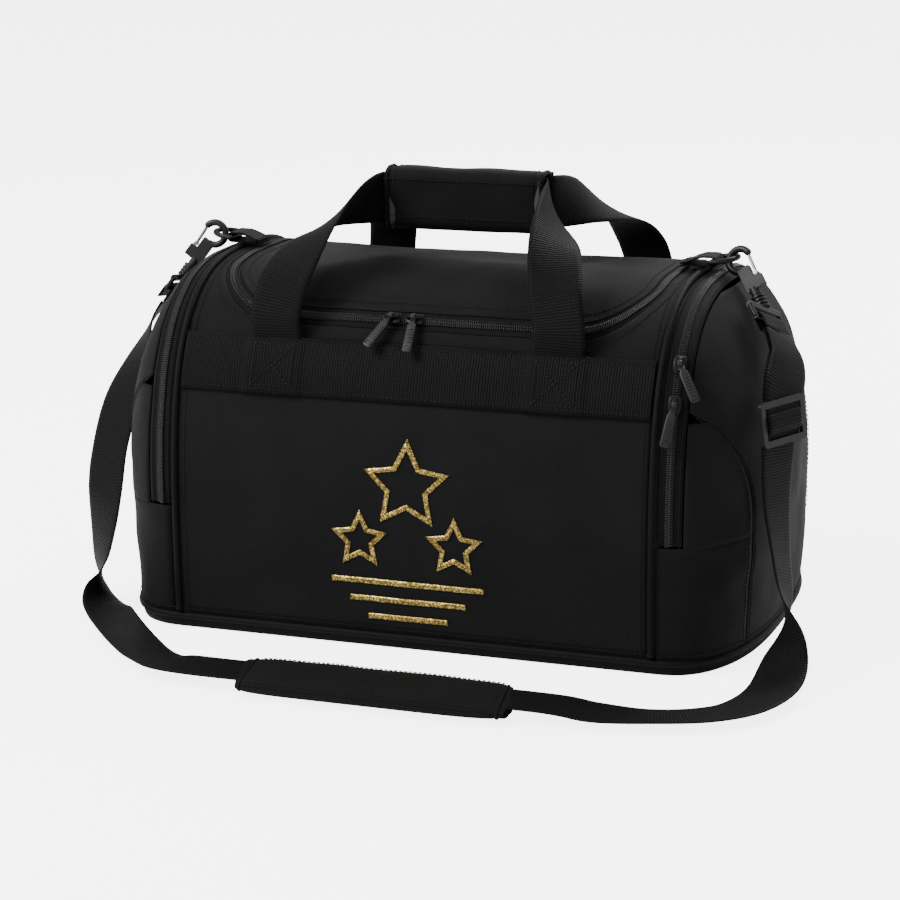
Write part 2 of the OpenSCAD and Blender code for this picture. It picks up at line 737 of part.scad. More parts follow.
// ---- assembly ---------------------------------------------------------------------------

bottom_panel();
base_board();
base_piping();
front_panel();
back_panel();
top_gusset();
left_divider();
right_divider();
left_piping();
right_piping();
left_end_panel();
right_end_panel();
left_corner_front();
left_corner_back();
right_corner_front();
right_corner_back();
left_pocket_tapes();
right_pocket_tapes();
left_pocket_coil();
right_pocket_coil();
main_zip_tape();
main_zip_coil();
front_band();
back_band();
left_tab();
right_tab();
left_ring();
right_ring();
print_motif();
lid_panel();
lid_zip_tape();
lid_zip_coil();
front_handle();
back_handle();
grip_pad();
grip_cover();
slider_left();
slider_right();
pull_left();
pull_right();
right_slider_upper();
right_slider_lower();
left_slider_upper();
left_slider_lower();
right_pull_upper();
right_pull_lower();
left_pull_upper();
left_pull_lower();
shoulder_strap();
strap_end_left();
strap_end_right();
tri_glide();
shoulder_pad();
left_hook();
left_gate();
left_swivel();
right_hook();
right_gate();
right_swivel();
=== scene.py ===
"""Looks of the sports holdall: fabric panels, piping, zips, webbing, hooks, strap, pad and print."""

import json
import math
from functools import partial

import bpy
import numpy as np
from mathutils import Matrix, Vector


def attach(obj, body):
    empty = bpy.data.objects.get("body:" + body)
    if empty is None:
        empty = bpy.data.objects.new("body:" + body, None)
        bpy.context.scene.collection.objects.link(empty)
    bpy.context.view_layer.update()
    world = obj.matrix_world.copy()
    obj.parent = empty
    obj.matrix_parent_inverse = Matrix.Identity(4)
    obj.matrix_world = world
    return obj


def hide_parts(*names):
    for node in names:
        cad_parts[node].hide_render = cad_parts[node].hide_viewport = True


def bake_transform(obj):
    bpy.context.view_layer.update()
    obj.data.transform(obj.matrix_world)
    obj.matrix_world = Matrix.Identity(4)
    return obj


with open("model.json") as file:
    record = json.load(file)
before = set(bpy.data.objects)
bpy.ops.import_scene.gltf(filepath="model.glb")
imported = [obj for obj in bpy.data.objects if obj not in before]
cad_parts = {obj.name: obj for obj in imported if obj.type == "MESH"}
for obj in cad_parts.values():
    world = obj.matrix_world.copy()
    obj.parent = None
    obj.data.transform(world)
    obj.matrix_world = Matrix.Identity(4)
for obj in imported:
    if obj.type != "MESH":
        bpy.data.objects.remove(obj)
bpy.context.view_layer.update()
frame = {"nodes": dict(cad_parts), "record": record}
MM = 0.001
SIDES = ((-1, "left"), (1, "right"))
PLACES = ((False, "front"), (True, "back"))

# ---- the bag's own measures, in metres ----
PANEL_HALF = 0.180
HALF_DEPTH = 0.140
BODY_H = 0.262
SPRING_Z = 0.060
RISE = BODY_H - SPRING_Z
END_BULGE = 0.066
DOME_Z = 0.090
ARCH_N, PLAN_N, DOME_N = 3.0, 2.6, 2.3
WALL_Z, SPLIT_Z = 0.012, 0.199
LID_HALF, LID_FRONT, LID_BACK, LID_CORNER = 0.158, 0.095, 0.097, 0.045
ZIP_LINE = 0.0054
BAND_Z, WEB_W, WEB_T = 0.180, 0.038, 0.0016
CLOTH_T = 0.0016
POCKET_ZIP_Z, POCKET_ZIP_X = 0.095, 0.012
TAPE_IN, TAPE_OUT = 0.0034, 0.021
CORNER_Z = 0.187
GRIP_Z = 0.305
PIPING_R = 0.0024


# ---- curves of the body ----
def arch_y(z):
    """Half depth of the bag at height z."""
    z = np.asarray(z, float)
    low = HALF_DEPTH - 0.002 * (1 - z / SPRING_Z) ** 2
    rise = np.clip((z - SPRING_Z) / RISE, 0, 1)
    return np.where(z < SPRING_Z, low, HALF_DEPTH * (1 - rise**ARCH_N) ** (1 / ARCH_N))


def arch_z(y):
    """Height of the arch at depth y."""
    share = np.clip(np.abs(y) / HALF_DEPTH, 0, 1)
    return SPRING_Z + RISE * (1 - share**ARCH_N) ** (1 / ARCH_N)


def arch_at(angle):
    """Point (y, z) of the arch by angle in degrees: -90 front spring line, 0 top, 90 back."""
    a = np.radians(angle)
    y = np.sign(a) * HALF_DEPTH * np.abs(np.sin(a)) ** (2 / ARCH_N)
    z = SPRING_Z + RISE * np.abs(np.cos(a)) ** (2 / ARCH_N)
    return y, z


def arch_normal(y, z):
    """Outward direction (y, z) of the arch, not scaled to length 1."""
    high = np.clip(z - SPRING_Z, 0, 1) / RISE
    return np.sign(y) * (y / HALF_DEPTH) ** 2 / HALF_DEPTH, high**2 / RISE


def angle_of_z(z):
    return np.degrees(np.arccos(((z - SPRING_Z) / RISE) ** (ARCH_N / 2)))


def angle_of_y(y):
    return np.sign(y) * np.degrees(np.arcsin((np.abs(y) / HALF_DEPTH) ** (ARCH_N / 2)))


def bulge(z):
    """How far an end pocket stands out past its seam at height z."""
    z = np.asarray(z, float)
    low = END_BULGE - 0.006 * (1 - z / DOME_Z) ** 2
    rise = np.clip((z - DOME_Z) / (BODY_H - DOME_Z), 0, 1)
    return np.where(z < DOME_Z, low, END_BULGE * (1 - rise**DOME_N) ** (1 / DOME_N))


def bulge_top(x):
    return DOME_Z + (BODY_H - DOME_Z) * (1 - (x / END_BULGE) ** DOME_N) ** (1 / DOME_N)


def dome(angle, z):
    """End pocket surface by plan angle, -90 at the front seam, and height."""
    angle, z = np.broadcast_arrays(np.radians(angle), z)
    x = PANEL_HALF + bulge(z) * np.abs(np.cos(angle)) ** (2 / PLAN_N)
    y = np.sign(angle) * arch_y(z) * np.abs(np.sin(angle)) ** (2 / PLAN_N)
    return np.stack([x, y, z], -1)


def dome_angle(x, z):
    share = np.clip(x / np.maximum(bulge(z), 1e-6), 0, 1)
    return np.degrees(np.arccos(share ** (PLAN_N / 2)))


def rim(k, x, low=POCKET_ZIP_Z):
    """Line round the end pocket at distance x from the seam, k from -1 (front) to 1 (back)."""
    k, x = np.broadcast_arrays(np.asarray(k, float), np.asarray(x, float))
    z = low + (bulge_top(x) - low) * np.cos(np.pi / 2 * k) ** (2 / ARCH_N)
    return dome(np.where(k < 0, -1, 1) * dome_angle(x, z), z)


def seam_angle(z):
    """Plan angle of the curved seam between a corner panel and the end panel."""
    share = np.clip((np.asarray(z, float) - 0.1) / (CORNER_Z - 0.1), 0, 1)
    return 32 + 52 * (1 - np.sqrt(1 - share**2))


# ---- softness ----
def ripple(p, scale, seed):
    """Smooth, even unevenness in -1..1 at points p, with features of the given size."""
    rng = np.random.default_rng(seed)
    total = np.zeros(p.shape[:-1])
    for _ in range(9):
        d = rng.normal(size=3)
        d /= np.linalg.norm(d)
        k = 2 * math.pi / (scale * rng.uniform(0.7, 1.9))
        total += np.sin(p @ d * k + rng.uniform(0, 2 * math.pi))
    return total / 4.5


def crease(p, start, end, width, height):
    """A soft ridge of that height along a line between two points."""
    start, end = np.array(start, float), np.array(end, float)
    d = end - start
    t = np.clip(((p - start) @ d) / (d @ d), 0, 1)
    off = np.linalg.norm(p - (start + t[..., None] * d), axis=-1)
    fade = np.sin(np.pi * np.clip(t, 0.02, 0.98)) ** 0.6
    return height * fade * np.exp(-((off / width) ** 2))


def edge_fade(count, margin):
    """1 in the middle of a square grid, falling to 0 at its edges over a share of its size."""
    t = np.linspace(0, 1, count)
    f = np.clip(np.minimum(t, 1 - t) / margin, 0, 1)
    return smoothstep(f[:, None] * f[None, :])


# ---- meshes ----
def unit(v):
    """Vectors scaled to length 1 along the last axis."""
    return v / np.maximum(np.linalg.norm(v, axis=-1, keepdims=True), 1e-12)


def distance_along(path):
    return np.concatenate([[0], np.linalg.norm(np.diff(path, axis=0), axis=1).cumsum()])


def uv_grid(u, v):
    return np.stack(np.meshgrid(u, v, indexing="ij"), -1).reshape(-1, 2)


def new_object(name, verts, faces, mat, uv=None):
    mesh = bpy.data.meshes.new(name)
    mesh.from_pydata(np.asarray(verts, float).tolist(), [], [list(f) for f in faces])
    mesh.validate()
    mesh.update()
    if uv is not None:
        layer = mesh.uv_layers.new(name="cloth")
        index = np.zeros(len(mesh.loops), int)
        mesh.loops.foreach_get("vertex_index", index)
        layer.data.foreach_set("uv", np.asarray(uv, float)[index].ravel())
    mesh.polygons.foreach_set("use_smooth", [True] * len(mesh.polygons))
    mesh.materials.append(mat)
    obj = bpy.data.objects.new(name, mesh)
    bpy.context.scene.collection.objects.link(obj)
    return obj


def grid_faces(rows, cols, wrap_rows=False, wrap_cols=False, flip=False):
    i = np.arange(rows if wrap_rows else rows - 1)
    j = np.arange(cols if wrap_cols else cols - 1)
    I, J = np.meshgrid(i, j, indexing="ij")
    I2, J2 = (I + 1) % rows, (J + 1) % cols
    quad = [I * cols + J, I2 * cols + J, I2 * cols + J2, I * cols + J2]
    return np.stack([q.ravel() for q in (quad[::-1] if flip else quad)], 1)


def tube_faces(rings, sides, closed=False):
    """Faces of a tube of rings, with flat ends unless it is closed."""
    faces = grid_faces(rings, sides, closed, True).tolist()
    if not closed:
        faces += [list(range(sides)), list(range((rings - 1) * sides, rings * sides))[::-1]]
    return faces


def frames_along(path, up, closed=False):
    """Tangent, side and up vectors along a path; up is one vector or one per point."""
    t = unit(np.roll(path, -1, 0) - np.roll(path, 1, 0) if closed else np.gradient(path, axis=0))
    side = unit(np.cross(t, np.broadcast_to(np.asarray(up, float), path.shape)))
    return t, side, np.cross(side, t)


def sweep(name, path, up, section, mat, closed=False):
    """A solid with the same section, a list of (side, up) points, along a path."""
    path = np.asarray(path, float)
    _, s, u = frames_along(path, up, closed)
    verts = path[:, None] + section[None, :, :1] * s[:, None] + section[None, :, 1:] * u[:, None]
    uv = uv_grid(distance_along(path), distance_along(section))
    return new_object(name, verts.reshape(-1, 3), tube_faces(len(path), len(section), closed), mat, uv)


def circle(r, sides=12):
    a = np.linspace(0, 2 * math.pi, sides, endpoint=False)
    return r * np.stack([np.cos(a), np.sin(a)], 1)


def strap_section(w, t):
    """Flat webbing with slightly thicker, rounded selvedges, listed round its edge."""
    across = np.linspace(-1, 1, 13)
    half = t / 2 * np.where(np.abs(across) > 0.95, 0.45, 1.0)
    top = np.stack([across * w / 2, half], 1)
    return np.concatenate([top, top[::-1] * [1, -1]])


def ribbon(name, path, width_dir, w=WEB_W):
    """Webbing along a path with the direction of its width at each point."""
    path = np.asarray(path, float)
    up = unit(np.cross(width_dir, unit(np.gradient(path, axis=0))))
    return sweep(name, path, up, strap_section(w, WEB_T), MATS["webbing"])


def curve(points, steps):
    """Smooth curve through a list of points of any length."""
    p = np.asarray(points, float)
    out = []
    for i in range(len(p) - 1):
        a, b, c, d = p[max(i - 1, 0)], p[i], p[i + 1], p[min(i + 2, len(p) - 1)]
        for u in np.linspace(0, 1, steps, endpoint=False):
            out.append(0.5 * (2 * b + (c - a) * u + (2 * a - 5 * b + 4 * c - d) * u**2
                              + (3 * b - a - 3 * c + d) * u**3))
    return np.array(out + [p[-1]])


def even(path, step):
    """Points along a path at an even spacing, with their interpolated columns."""
    path = np.asarray(path, float)
    run = distance_along(path[:, :3])
    at = np.linspace(0, run[-1], max(2, int(round(run[-1] / step)) + 1))
    return np.stack([np.interp(at, run, column) for column in path.T], 1)


def scatter(name, origins, X, Y, Z, shape, mat):
    """Copies of one small shape (verts, faces), each with its own origin and axes, as one mesh."""
    verts, faces = shape
    pts = origins[:, None] + np.einsum("vk,nkj->nvj", verts, np.stack([X, Y, Z], 1))
    count, each = pts.shape[:2]
    faces = [[i + k * each for i in face] for face in faces for k in range(count)]
    return new_object(name, pts.reshape(-1, 3), faces, mat)


BAR_STATIONS = [(-0.5, 0.45), (-0.38, 1.0), (0.38, 1.0), (0.5, 0.45)]


def bar(length, w, h, sides=8):
    """A lozenge-ended bar along local X, flattened to w across and h high."""
    verts = []
    for x, s in BAR_STATIONS:
        for a in np.linspace(0, 2 * math.pi, sides, endpoint=False):
            verts.append((x * length, s * w / 2 * math.cos(a), s * h / 2 * math.sin(a)))
    return verts, tube_faces(len(BAR_STATIONS), sides)


STITCH_PITCH, STITCH_LENGTH, STITCH_LIFT = 0.0036, 0.0026, 0.0002


def stitches(name, path, up, width=0.0007):
    """A row of stitches along a path on a surface whose normals are up."""
    both = even(np.concatenate([path, np.broadcast_to(up, path.shape)], 1), STITCH_PITCH)
    p, n = both[:, :3], unit(both[:, 3:])
    t, s, u = frames_along(p, n)
    return scatter(name, p + u * STITCH_LIFT, t, s, u, bar(STITCH_LENGTH, width, width, 6), THREAD)


# ---- the body's skin: a point of it by X and arch angle, or by plan angle and height ----
LOW_STEP = 0.002  # below the spring line the arch angle goes on, one degree for this height


def smoothstep(t):
    t = np.clip(t, 0, 1)
    return t * t * (3 - 2 * t)


def skin_angle(z):
    """Arch angle, 0 at the top, of a height on the wall."""
    z = np.asarray(z, float)
    high = angle_of_z(np.maximum(z, SPRING_Z))
    return np.where(z >= SPRING_Z, high, 90 + (SPRING_Z - z) / LOW_STEP)


def lid_offset(x, y):
    """Distance in plan outside the lid's edge, negative on the lid."""
    dx = np.abs(x) - (LID_HALF - LID_CORNER)
    dy = -y - (LID_FRONT - LID_CORNER)
    corner = (dx > 0) & (dy > 0)
    return np.where(corner, np.hypot(dx, dy), np.maximum(dx, dy)) - LID_CORNER


FRONT_CREASES = [
    ((-0.165, -0.14, 0.030), (-0.060, -0.14, 0.105), 0.016, 0.0016),
    ((0.172, -0.14, 0.035), (0.085, -0.14, 0.125), 0.015, 0.0017),
    ((0.170, -0.14, 0.100), (0.110, -0.14, 0.165), 0.012, -0.0012),
    ((-0.150, -0.10, 0.245), (-0.020, -0.02, 0.262), 0.020, 0.0018),
    ((0.150, -0.06, 0.252), (0.030, 0.02, 0.262), 0.022, -0.0016),
    ((-0.120, 0.05, 0.258), (0.120, 0.03, 0.260), 0.030, -0.0018),
]


def body(x, a, lift=0.0):
    """Points of the main body's skin at X and arch angle, lifted along the normal."""
    x, a = np.broadcast_arrays(np.asarray(x, float), np.asarray(a, float))
    y, z = arch_at(np.clip(a, -90, 90))
    below = np.maximum(np.abs(a) - 90, 0) * LOW_STEP
    z = z - below
    y = np.where(below > 0, np.sign(a) * arch_y(z), y)
    n = unit(np.stack([0 * x, *arch_normal(y, z)], -1))
    p = np.stack([x, y, z], -1)
    fade = smoothstep((PANEL_HALF - np.abs(x)) / 0.035) * smoothstep((z - 0.01) / 0.03)
    soft = 0.0011 * ripple(p, 0.11, 3) + 0.0005 * ripple(p, 0.045, 5)
    soft = soft + sum(crease(p, *line) for line in FRONT_CREASES)
    near_zip = np.exp(-(((lid_offset(x, y) - 0.006) / 0.013) ** 2)) * (np.abs(a) < 80)
    soft = soft * (1 - 0.7 * near_zip) + 0.0005 * near_zip * ripple(p, 0.018, 11)
    return p + n * (soft * fade + lift)[..., None]


def on_top(x, y, lift=0.0):
    return body(x, angle_of_y(np.asarray(y, float)), lift)


END_CREASES = [
    ((0.190, -0.132, 0.040), (0.240, -0.070, 0.085), 0.014, 0.0022),
    ((0.186, -0.135, 0.085), (0.225, -0.095, 0.030), 0.010, -0.0016),
    ((0.243, -0.030, 0.060), (0.236, 0.055, 0.150), 0.020, 0.0022),
    ((0.205, -0.110, 0.160), (0.236, -0.045, 0.120), 0.014, 0.0018),
]


def pocket(angle, z, lift=0.0):
    """Points of the right end pocket's skin by plan angle and height, lifted along the normal."""
    angle, z = np.broadcast_arrays(np.asarray(angle, float), np.asarray(z, float))
    p = dome(angle, z)
    dz = np.where(z > BODY_H - 0.004, -0.001, 0.001)
    da = dome(np.clip(angle + 0.5, -90, 90), z) - dome(np.clip(angle - 0.5, -90, 90), z)
    dh = (dome(angle, z + dz) - p) * np.sign(dz)[..., None]
    n = unit(np.cross(da, dh))
    fade = smoothstep((p[..., 0] - PANEL_HALF) / 0.03) * smoothstep((z - 0.01) / 0.03)
    soft = 0.0014 * ripple(p, 0.10, 23) + 0.0006 * ripple(p, 0.04, 29)
    soft = soft + sum(crease(p, *line) for line in END_CREASES)
    return p + n * (soft * fade + lift)[..., None]


def mirrored(point, turn, u, v, lift=0.0):
    return point(u, v, lift) * turn


def on_rim(k, x, lift=0.0):
    """Points along a line round the pocket at a distance from its seam."""
    flat = rim(k, x)
    angle = np.where(np.asarray(k) < 0, -1, 1) * dome_angle(flat[..., 0] - PANEL_HALF, flat[..., 2])
    return pocket(angle, flat[..., 2], lift)


def shell(name, top, low, mat, wrap=False, flip=False):
    """A thin solid between two grids of points. wrap closes it along its rows."""
    rows, cols = top.shape[:2]
    count = rows * cols
    du = np.linalg.norm(np.diff(top, axis=0, prepend=top[:1]), axis=-1).cumsum(0)
    dv = np.linalg.norm(np.diff(top, axis=1, prepend=top[:, :1]), axis=-1).cumsum(1)
    uv = np.stack([du.mean(1)[:, None] + 0 * dv, dv], -1).reshape(-1, 2)
    verts = np.concatenate([top.reshape(-1, 3), low.reshape(-1, 3)])
    faces = [grid_faces(rows, cols, wrap, flip=flip), grid_faces(rows, cols, wrap, flip=not flip) + count]
    idx = np.arange(count).reshape(rows, cols)
    rims = [(idx[:, 0], wrap, flip), (idx[:, -1], wrap, not flip)]
    if not wrap:
        rims += [(idx[0, :], False, not flip), (idx[-1, :], False, flip)]
    for line, closed, back in rims:
        a = line if closed else line[:-1]
        b = np.roll(line, -1) if closed else line[1:]
        quad = np.stack([a, b, b + count, a + count], 1)
        faces.append(quad if back else quad[:, ::-1])
    return new_object(name, verts, np.concatenate(faces), mat, np.concatenate([uv, uv]))


def skin(name, point, u, v, top, thick, mat, **words):
    """A shell over the skin given by point(u, v, lift)."""
    return shell(name, point(u, v, top), point(u, v, top - thick), mat, **words)


def cloth(name, point, u, v, **words):
    """A panel of the bag's own cloth on the skin given by point(u, v, lift)."""
    return skin(name, point, u, v, 0, CLOTH_T, MATS["body_fabric"], **words)


# ---- materials ----
def feed(tree, socket, value):
    """Link a socket to the output given, or set it to the plain value given."""
    if isinstance(value, bpy.types.NodeSocket):
        tree.links.new(value, socket)
    else:
        socket.default_value = value


def node(tree, kind, inputs=None, **settings):
    n = tree.nodes.new("ShaderNode" + kind)
    for key, value in settings.items():
        setattr(n, key, value)
    for key, value in (inputs or {}).items():
        feed(tree, n.inputs[key], value)
    return n


def math_node(tree, operation, a, b=0.0):
    return node(tree, "Math", {0: a, 1: b}, operation=operation).outputs[0]


def times(tree, a, b):
    return math_node(tree, "MULTIPLY", a, b)


def plus(tree, a, b):
    return math_node(tree, "ADD", a, b)


def mix_colour(tree, share, a, b):
    return node(tree, "Mix", {0: share, 6: a, 7: b}, data_type="RGBA").outputs[2]


def grey(value, warm=0.0):
    return (value * (1 + warm), value, value * (1 - warm), 1.0)


def noise(tree, size, detail=3.0):
    """Noise with features of the given size in metres, by place in the object."""
    place = node(tree, "TexCoord").outputs["Object"]
    n = node(tree, "TexNoise", {"Vector": place, "Scale": 1 / size, "Detail": detail})
    return n.outputs["Fac"]


def start_material(name):
    mat = bpy.data.materials.new(name)
    mat.use_nodes = True
    tree = mat.node_tree
    tree.nodes.clear()
    shader = node(tree, "BsdfPrincipled")
    node(tree, "OutputMaterial", {"Surface": shader.outputs[0]})
    return mat, tree, shader


def set_shader(tree, shader, **inputs):
    for key, value in inputs.items():
        feed(tree, shader.inputs[key.replace("_", " ")], value)


def woven(name, dark, light, pitch, rough, strength, rib=1.0, sheen=0.03, ribbed=0.0, relief_shade=0.45):
    """Cloth woven square to the piece's own length: threads, uneven dye and a slight sheen; the colour also
    follows the thread relief, darker in its hollows and lighter on its crests, which is painted shade.
    rib stretches the weave across; ribbed and the share of relief in the colour turn it into the ribs of
    webbing, and that share is painted shade in the grooves between threads."""
    mat, tree, shader = start_material(name)
    uv = node(tree, "SeparateXYZ", {0: node(tree, "UVMap", uv_map="cloth").outputs[0]})
    along = math_node(tree, "SINE", times(tree, uv.outputs[0], 2 * math.pi / pitch))
    across = math_node(tree, "SINE", times(tree, uv.outputs[1], 2 * math.pi / (pitch * rib)))
    checks = times(tree, along, across)
    threads = plus(tree, times(tree, checks, 1 - ribbed), times(tree, along, ribbed))
    height = plus(tree, times(tree, threads, 0.5), noise(tree, 0.0011, 4.0))
    patches = noise(tree, 0.045, 2.0)
    # colour: the thread relief painted as shade, darker in the weave's hollows, plus patches of uneven dye
    tone = plus(tree, times(tree, height, relief_shade), times(tree, patches, 0.95 - relief_shade))
    colour = mix_colour(tree, tone, grey(dark, -0.03), grey(light, -0.03))
    bump = node(tree, "Bump", {"Strength": strength, "Distance": 0.0004, "Height": height})
    roughness = plus(tree, times(tree, patches, 0.12), rough - 0.06)
    set_shader(tree, shader, Base_Color=colour, Roughness=roughness, Normal=bump.outputs[0],
               Sheen_Weight=sheen, Sheen_Roughness=0.45, Specular_IOR_Level=0.07)
    return mat


def moulded(name, dark, light, rough, metal=0.0, grain=0.0006, strength=0.15):
    """Plastic or metal with fine grain and handling marks."""
    mat, tree, shader = start_material(name)
    marks = noise(tree, 0.012, 5.0)
    fine = noise(tree, grain, 2.0)
    bump = node(tree, "Bump", {"Strength": strength, "Distance": 0.0002, "Height": fine})
    colour = mix_colour(tree, marks, grey(dark), grey(light))
    roughness = plus(tree, times(tree, marks, 0.25), rough - 0.12)
    set_shader(tree, shader, Base_Color=colour, Roughness=roughness, Metallic=metal, Normal=bump.outputs[0],
               Specular_IOR_Level=0.3)
    return mat


def glitter(name):
    """Flakes of gold foil under a clear film, each tilted its own way by the bump and each given its own
    colour from near black to bright gold: that spread is painted light and shade, and the bright flakes are
    painted glints.
    """
    mat, tree, shader = start_material(name)
    place = node(tree, "TexCoord").outputs["Object"]
    flakes = node(tree, "TexVoronoi", {"Vector": place, "Scale": 1300.0}, feature="F1")
    pick = node(tree, "SeparateColor", {0: flakes.outputs["Color"]})
    # flake colours from near black to bright gold: painted shade on the dark flakes and painted glints on the
    # bright ones, over the gold's own colour
    tone = node(tree, "ValToRGB", {0: pick.outputs[0]})
    gold_and_glint_ramp = tone.color_ramp
    gold_and_glint_ramp.elements[0].color = (0.045, 0.024, 0.001, 1)
    gold_and_glint_ramp.elements[1].color = (1.0, 0.78, 0.22, 1)
    middle = gold_and_glint_ramp.elements.new(0.60)
    middle.color = (0.26, 0.155, 0.010, 1)
    bump = node(tree, "Bump", {"Strength": 0.9, "Distance": 0.0006, "Height": pick.outputs[1]})
    set_shader(tree, shader, Base_Color=tone.outputs[0], Metallic=0.65, Roughness=0.32,
               Normal=bump.outputs[0], Coat_Weight=0.3)
    return mat


MATS = {
    "body_fabric": woven("polyester_600d", 0.0022, 0.0102, 0.0011, 0.62, 0.6),
    "base_fabric": woven("base_polyester", 0.0015, 0.0068, 0.0011, 0.62, 0.5),
    "lining": woven("lining_taffeta", 0.016, 0.034, 0.0006, 0.5, 0.25),
    "board": moulded("base_board", 0.05, 0.09, 0.6, grain=0.002),
    "zip_coil": moulded("nylon_coil", 0.0025, 0.008, 0.42),
    "zip_tape": woven("zip_tape", 0.0018, 0.0075, 0.0009, 0.6, 0.5),
    "piping": woven("piping_cover", 0.0018, 0.0080, 0.0010, 0.5, 0.35, sheen=0.02),
    # the webbing's ribs take most of their colour from the relief: painted shade in the grooves, lighter
    # crests
    "webbing": woven("polypropylene_webbing", 0.0004, 0.0068, 0.0021, 0.55, 1.0, rib=1.4, sheen=0.02,
                     ribbed=0.75, relief_shade=0.70),
    "ring_metal": moulded("black_ring_metal", 0.010, 0.028, 0.38, metal=0.8),
    "slider_metal": moulded("painted_slider", 0.008, 0.022, 0.36, metal=0.7),
    "pull_plastic": moulded("pull_plastic", 0.005, 0.014, 0.45),
    "gate_metal": moulded("gate_steel", 0.18, 0.40, 0.30, metal=1.0),
    "hook_plastic": moulded("hook_plastic", 0.004, 0.012, 0.42),
    "gold_print": glitter("gold_glitter"),
    "foam": moulded("grip_foam", 0.03, 0.06, 0.85, grain=0.001, strength=0.4),
    "grip_fabric": woven("grip_polyester", 0.0018, 0.0080, 0.0011, 0.60, 0.5),
    "pad_fabric": woven("pad_polyester", 0.0018, 0.0078, 0.0011, 0.60, 0.5),
}
THREAD = woven("sewing_thread", 0.004, 0.016, 0.0008, 0.5, 0.4)
NODE_BODY = {n: b for b, names in frame["record"]["behaviour"]["bodies"].items() for n in names}
NODE_SLOT = {s["node"]: s["material_slot"] for s in frame["record"]["subparts"]}


def stands_for(obj, *names):
    """obj is the finished form of these CAD nodes and goes with their body."""
    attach(obj, NODE_BODY[names[0]])
    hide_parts(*names)
    return obj


def trim(obj, name):
    """A detail sewn or moulded on a CAD node's piece, attached to the node's body."""
    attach(obj, NODE_BODY[name])
    return obj


def sew(name, point, u, v, owner, slot_name=None, turn=(1, 1, 1), lift=0.0, **words):
    """A row of stitches along point(u, v, lift), mirrored by turn."""
    p, q = point(u, v, lift) * turn, point(u, v, lift + MM) * turn
    trim(stitches(name, p, (q - p) / MM, **words), owner)


# ---- base ----
def base_line(z, inset=0.0, count=49):
    """The bag's plan outline at a height, drawn in by inset, as a closed loop."""
    right = dome(np.linspace(-90, 90, count), z)
    right[:, 0] = PANEL_HALF + (right[:, 0] - PANEL_HALF) * (1 - inset / END_BULGE)
    right[:, 1] *= 1 - inset / HALF_DEPTH
    left = right[::-1] * [-1, 1, 1]
    front = np.linspace(left[-1], right[0], 24)[1:-1]
    back = np.linspace(right[-1], left[0], 24)[1:-1]
    return np.concatenate([right, back, left, front])


def build_base():
    profile = [(8.5, 0), (4, 0), (1.2, 0.6), (0, 3), (0, 30), (0, 60), (2, 60), (2, 30), (2.2, 3.5), (8.5, 2)]
    rings = np.stack([base_line(z * MM, inset * MM) for z, inset in profile], 1)
    n, m = rings.shape[:2]
    faces = grid_faces(n, m, True).tolist()
    faces += [[i * m + m - 1, i * m, ((i + 1) % n) * m, ((i + 1) % n) * m + m - 1] for i in range(n)]
    faces += [[i * m + 5 for i in range(n)], [i * m + 6 for i in range(n)][::-1]]
    around = np.array([0, 4.5, 7.5, 11, 38, 68, 70, 100, 127, 134]) * MM
    uv = uv_grid(np.arange(n) * 0.0098, around)
    floor_cloth = new_object("base_cloth", rings.reshape(-1, 3), faces, MATS["base_fabric"], uv)
    stands_for(floor_cloth, "bottom_panel")
    welt = sweep("base_welt", base_line(0.0095), (0, 0, 1), circle(PIPING_R), MATS["piping"], closed=True)
    stands_for(welt, "base_piping")
    row = base_line(0.0155)
    out = unit(base_line(0.0155, -MM) - row)
    row, out = (np.concatenate([v, v[:1]]) for v in (row, out))
    trim(stitches("base_stitches", row + out * 0.0004, out), "bottom_panel")


# ---- main compartment ----
SEAM_X = PANEL_HALF - PIPING_R - 0.0004
EDGE_ANGLE = float(angle_of_z(SPLIT_Z))
GUSSET_GAP = 0.011


def lid_path(g, corner=14, side=36, front=80):
    """The lid's free edge grown by g, from back left round the front to back right: x, y."""
    c = LID_HALF - LID_CORNER
    d = LID_FRONT - LID_CORNER
    turn = np.radians(np.linspace(0, 90, corner))
    left = np.stack([np.full(side, -LID_HALF - g), np.linspace(LID_BACK, -d, side)], 1)[:-1]
    first = np.stack([-c - (LID_CORNER + g) * np.cos(turn), -d - (LID_CORNER + g) * np.sin(turn)], 1)
    middle = np.stack([np.linspace(-c, c, front), np.full(front, -LID_FRONT - g)], 1)[1:-1]
    return np.concatenate([left, first, middle, first[::-1] * [-1, 1], left[::-1] * [-1, 1]])


def build_walls():
    x = np.linspace(-SEAM_X, SEAM_X, 121)[:, None]
    low, high = float(skin_angle(WALL_Z)), float(skin_angle(SPLIT_Z - 0.0003))
    a = -np.concatenate([np.linspace(low, 90, 8)[:-1], np.linspace(90, high, 44)])[None, :]
    stands_for(cloth("front_cloth", body, x, a), "front_panel")
    stands_for(cloth("back_cloth", body, x, -a, flip=True), "back_panel")


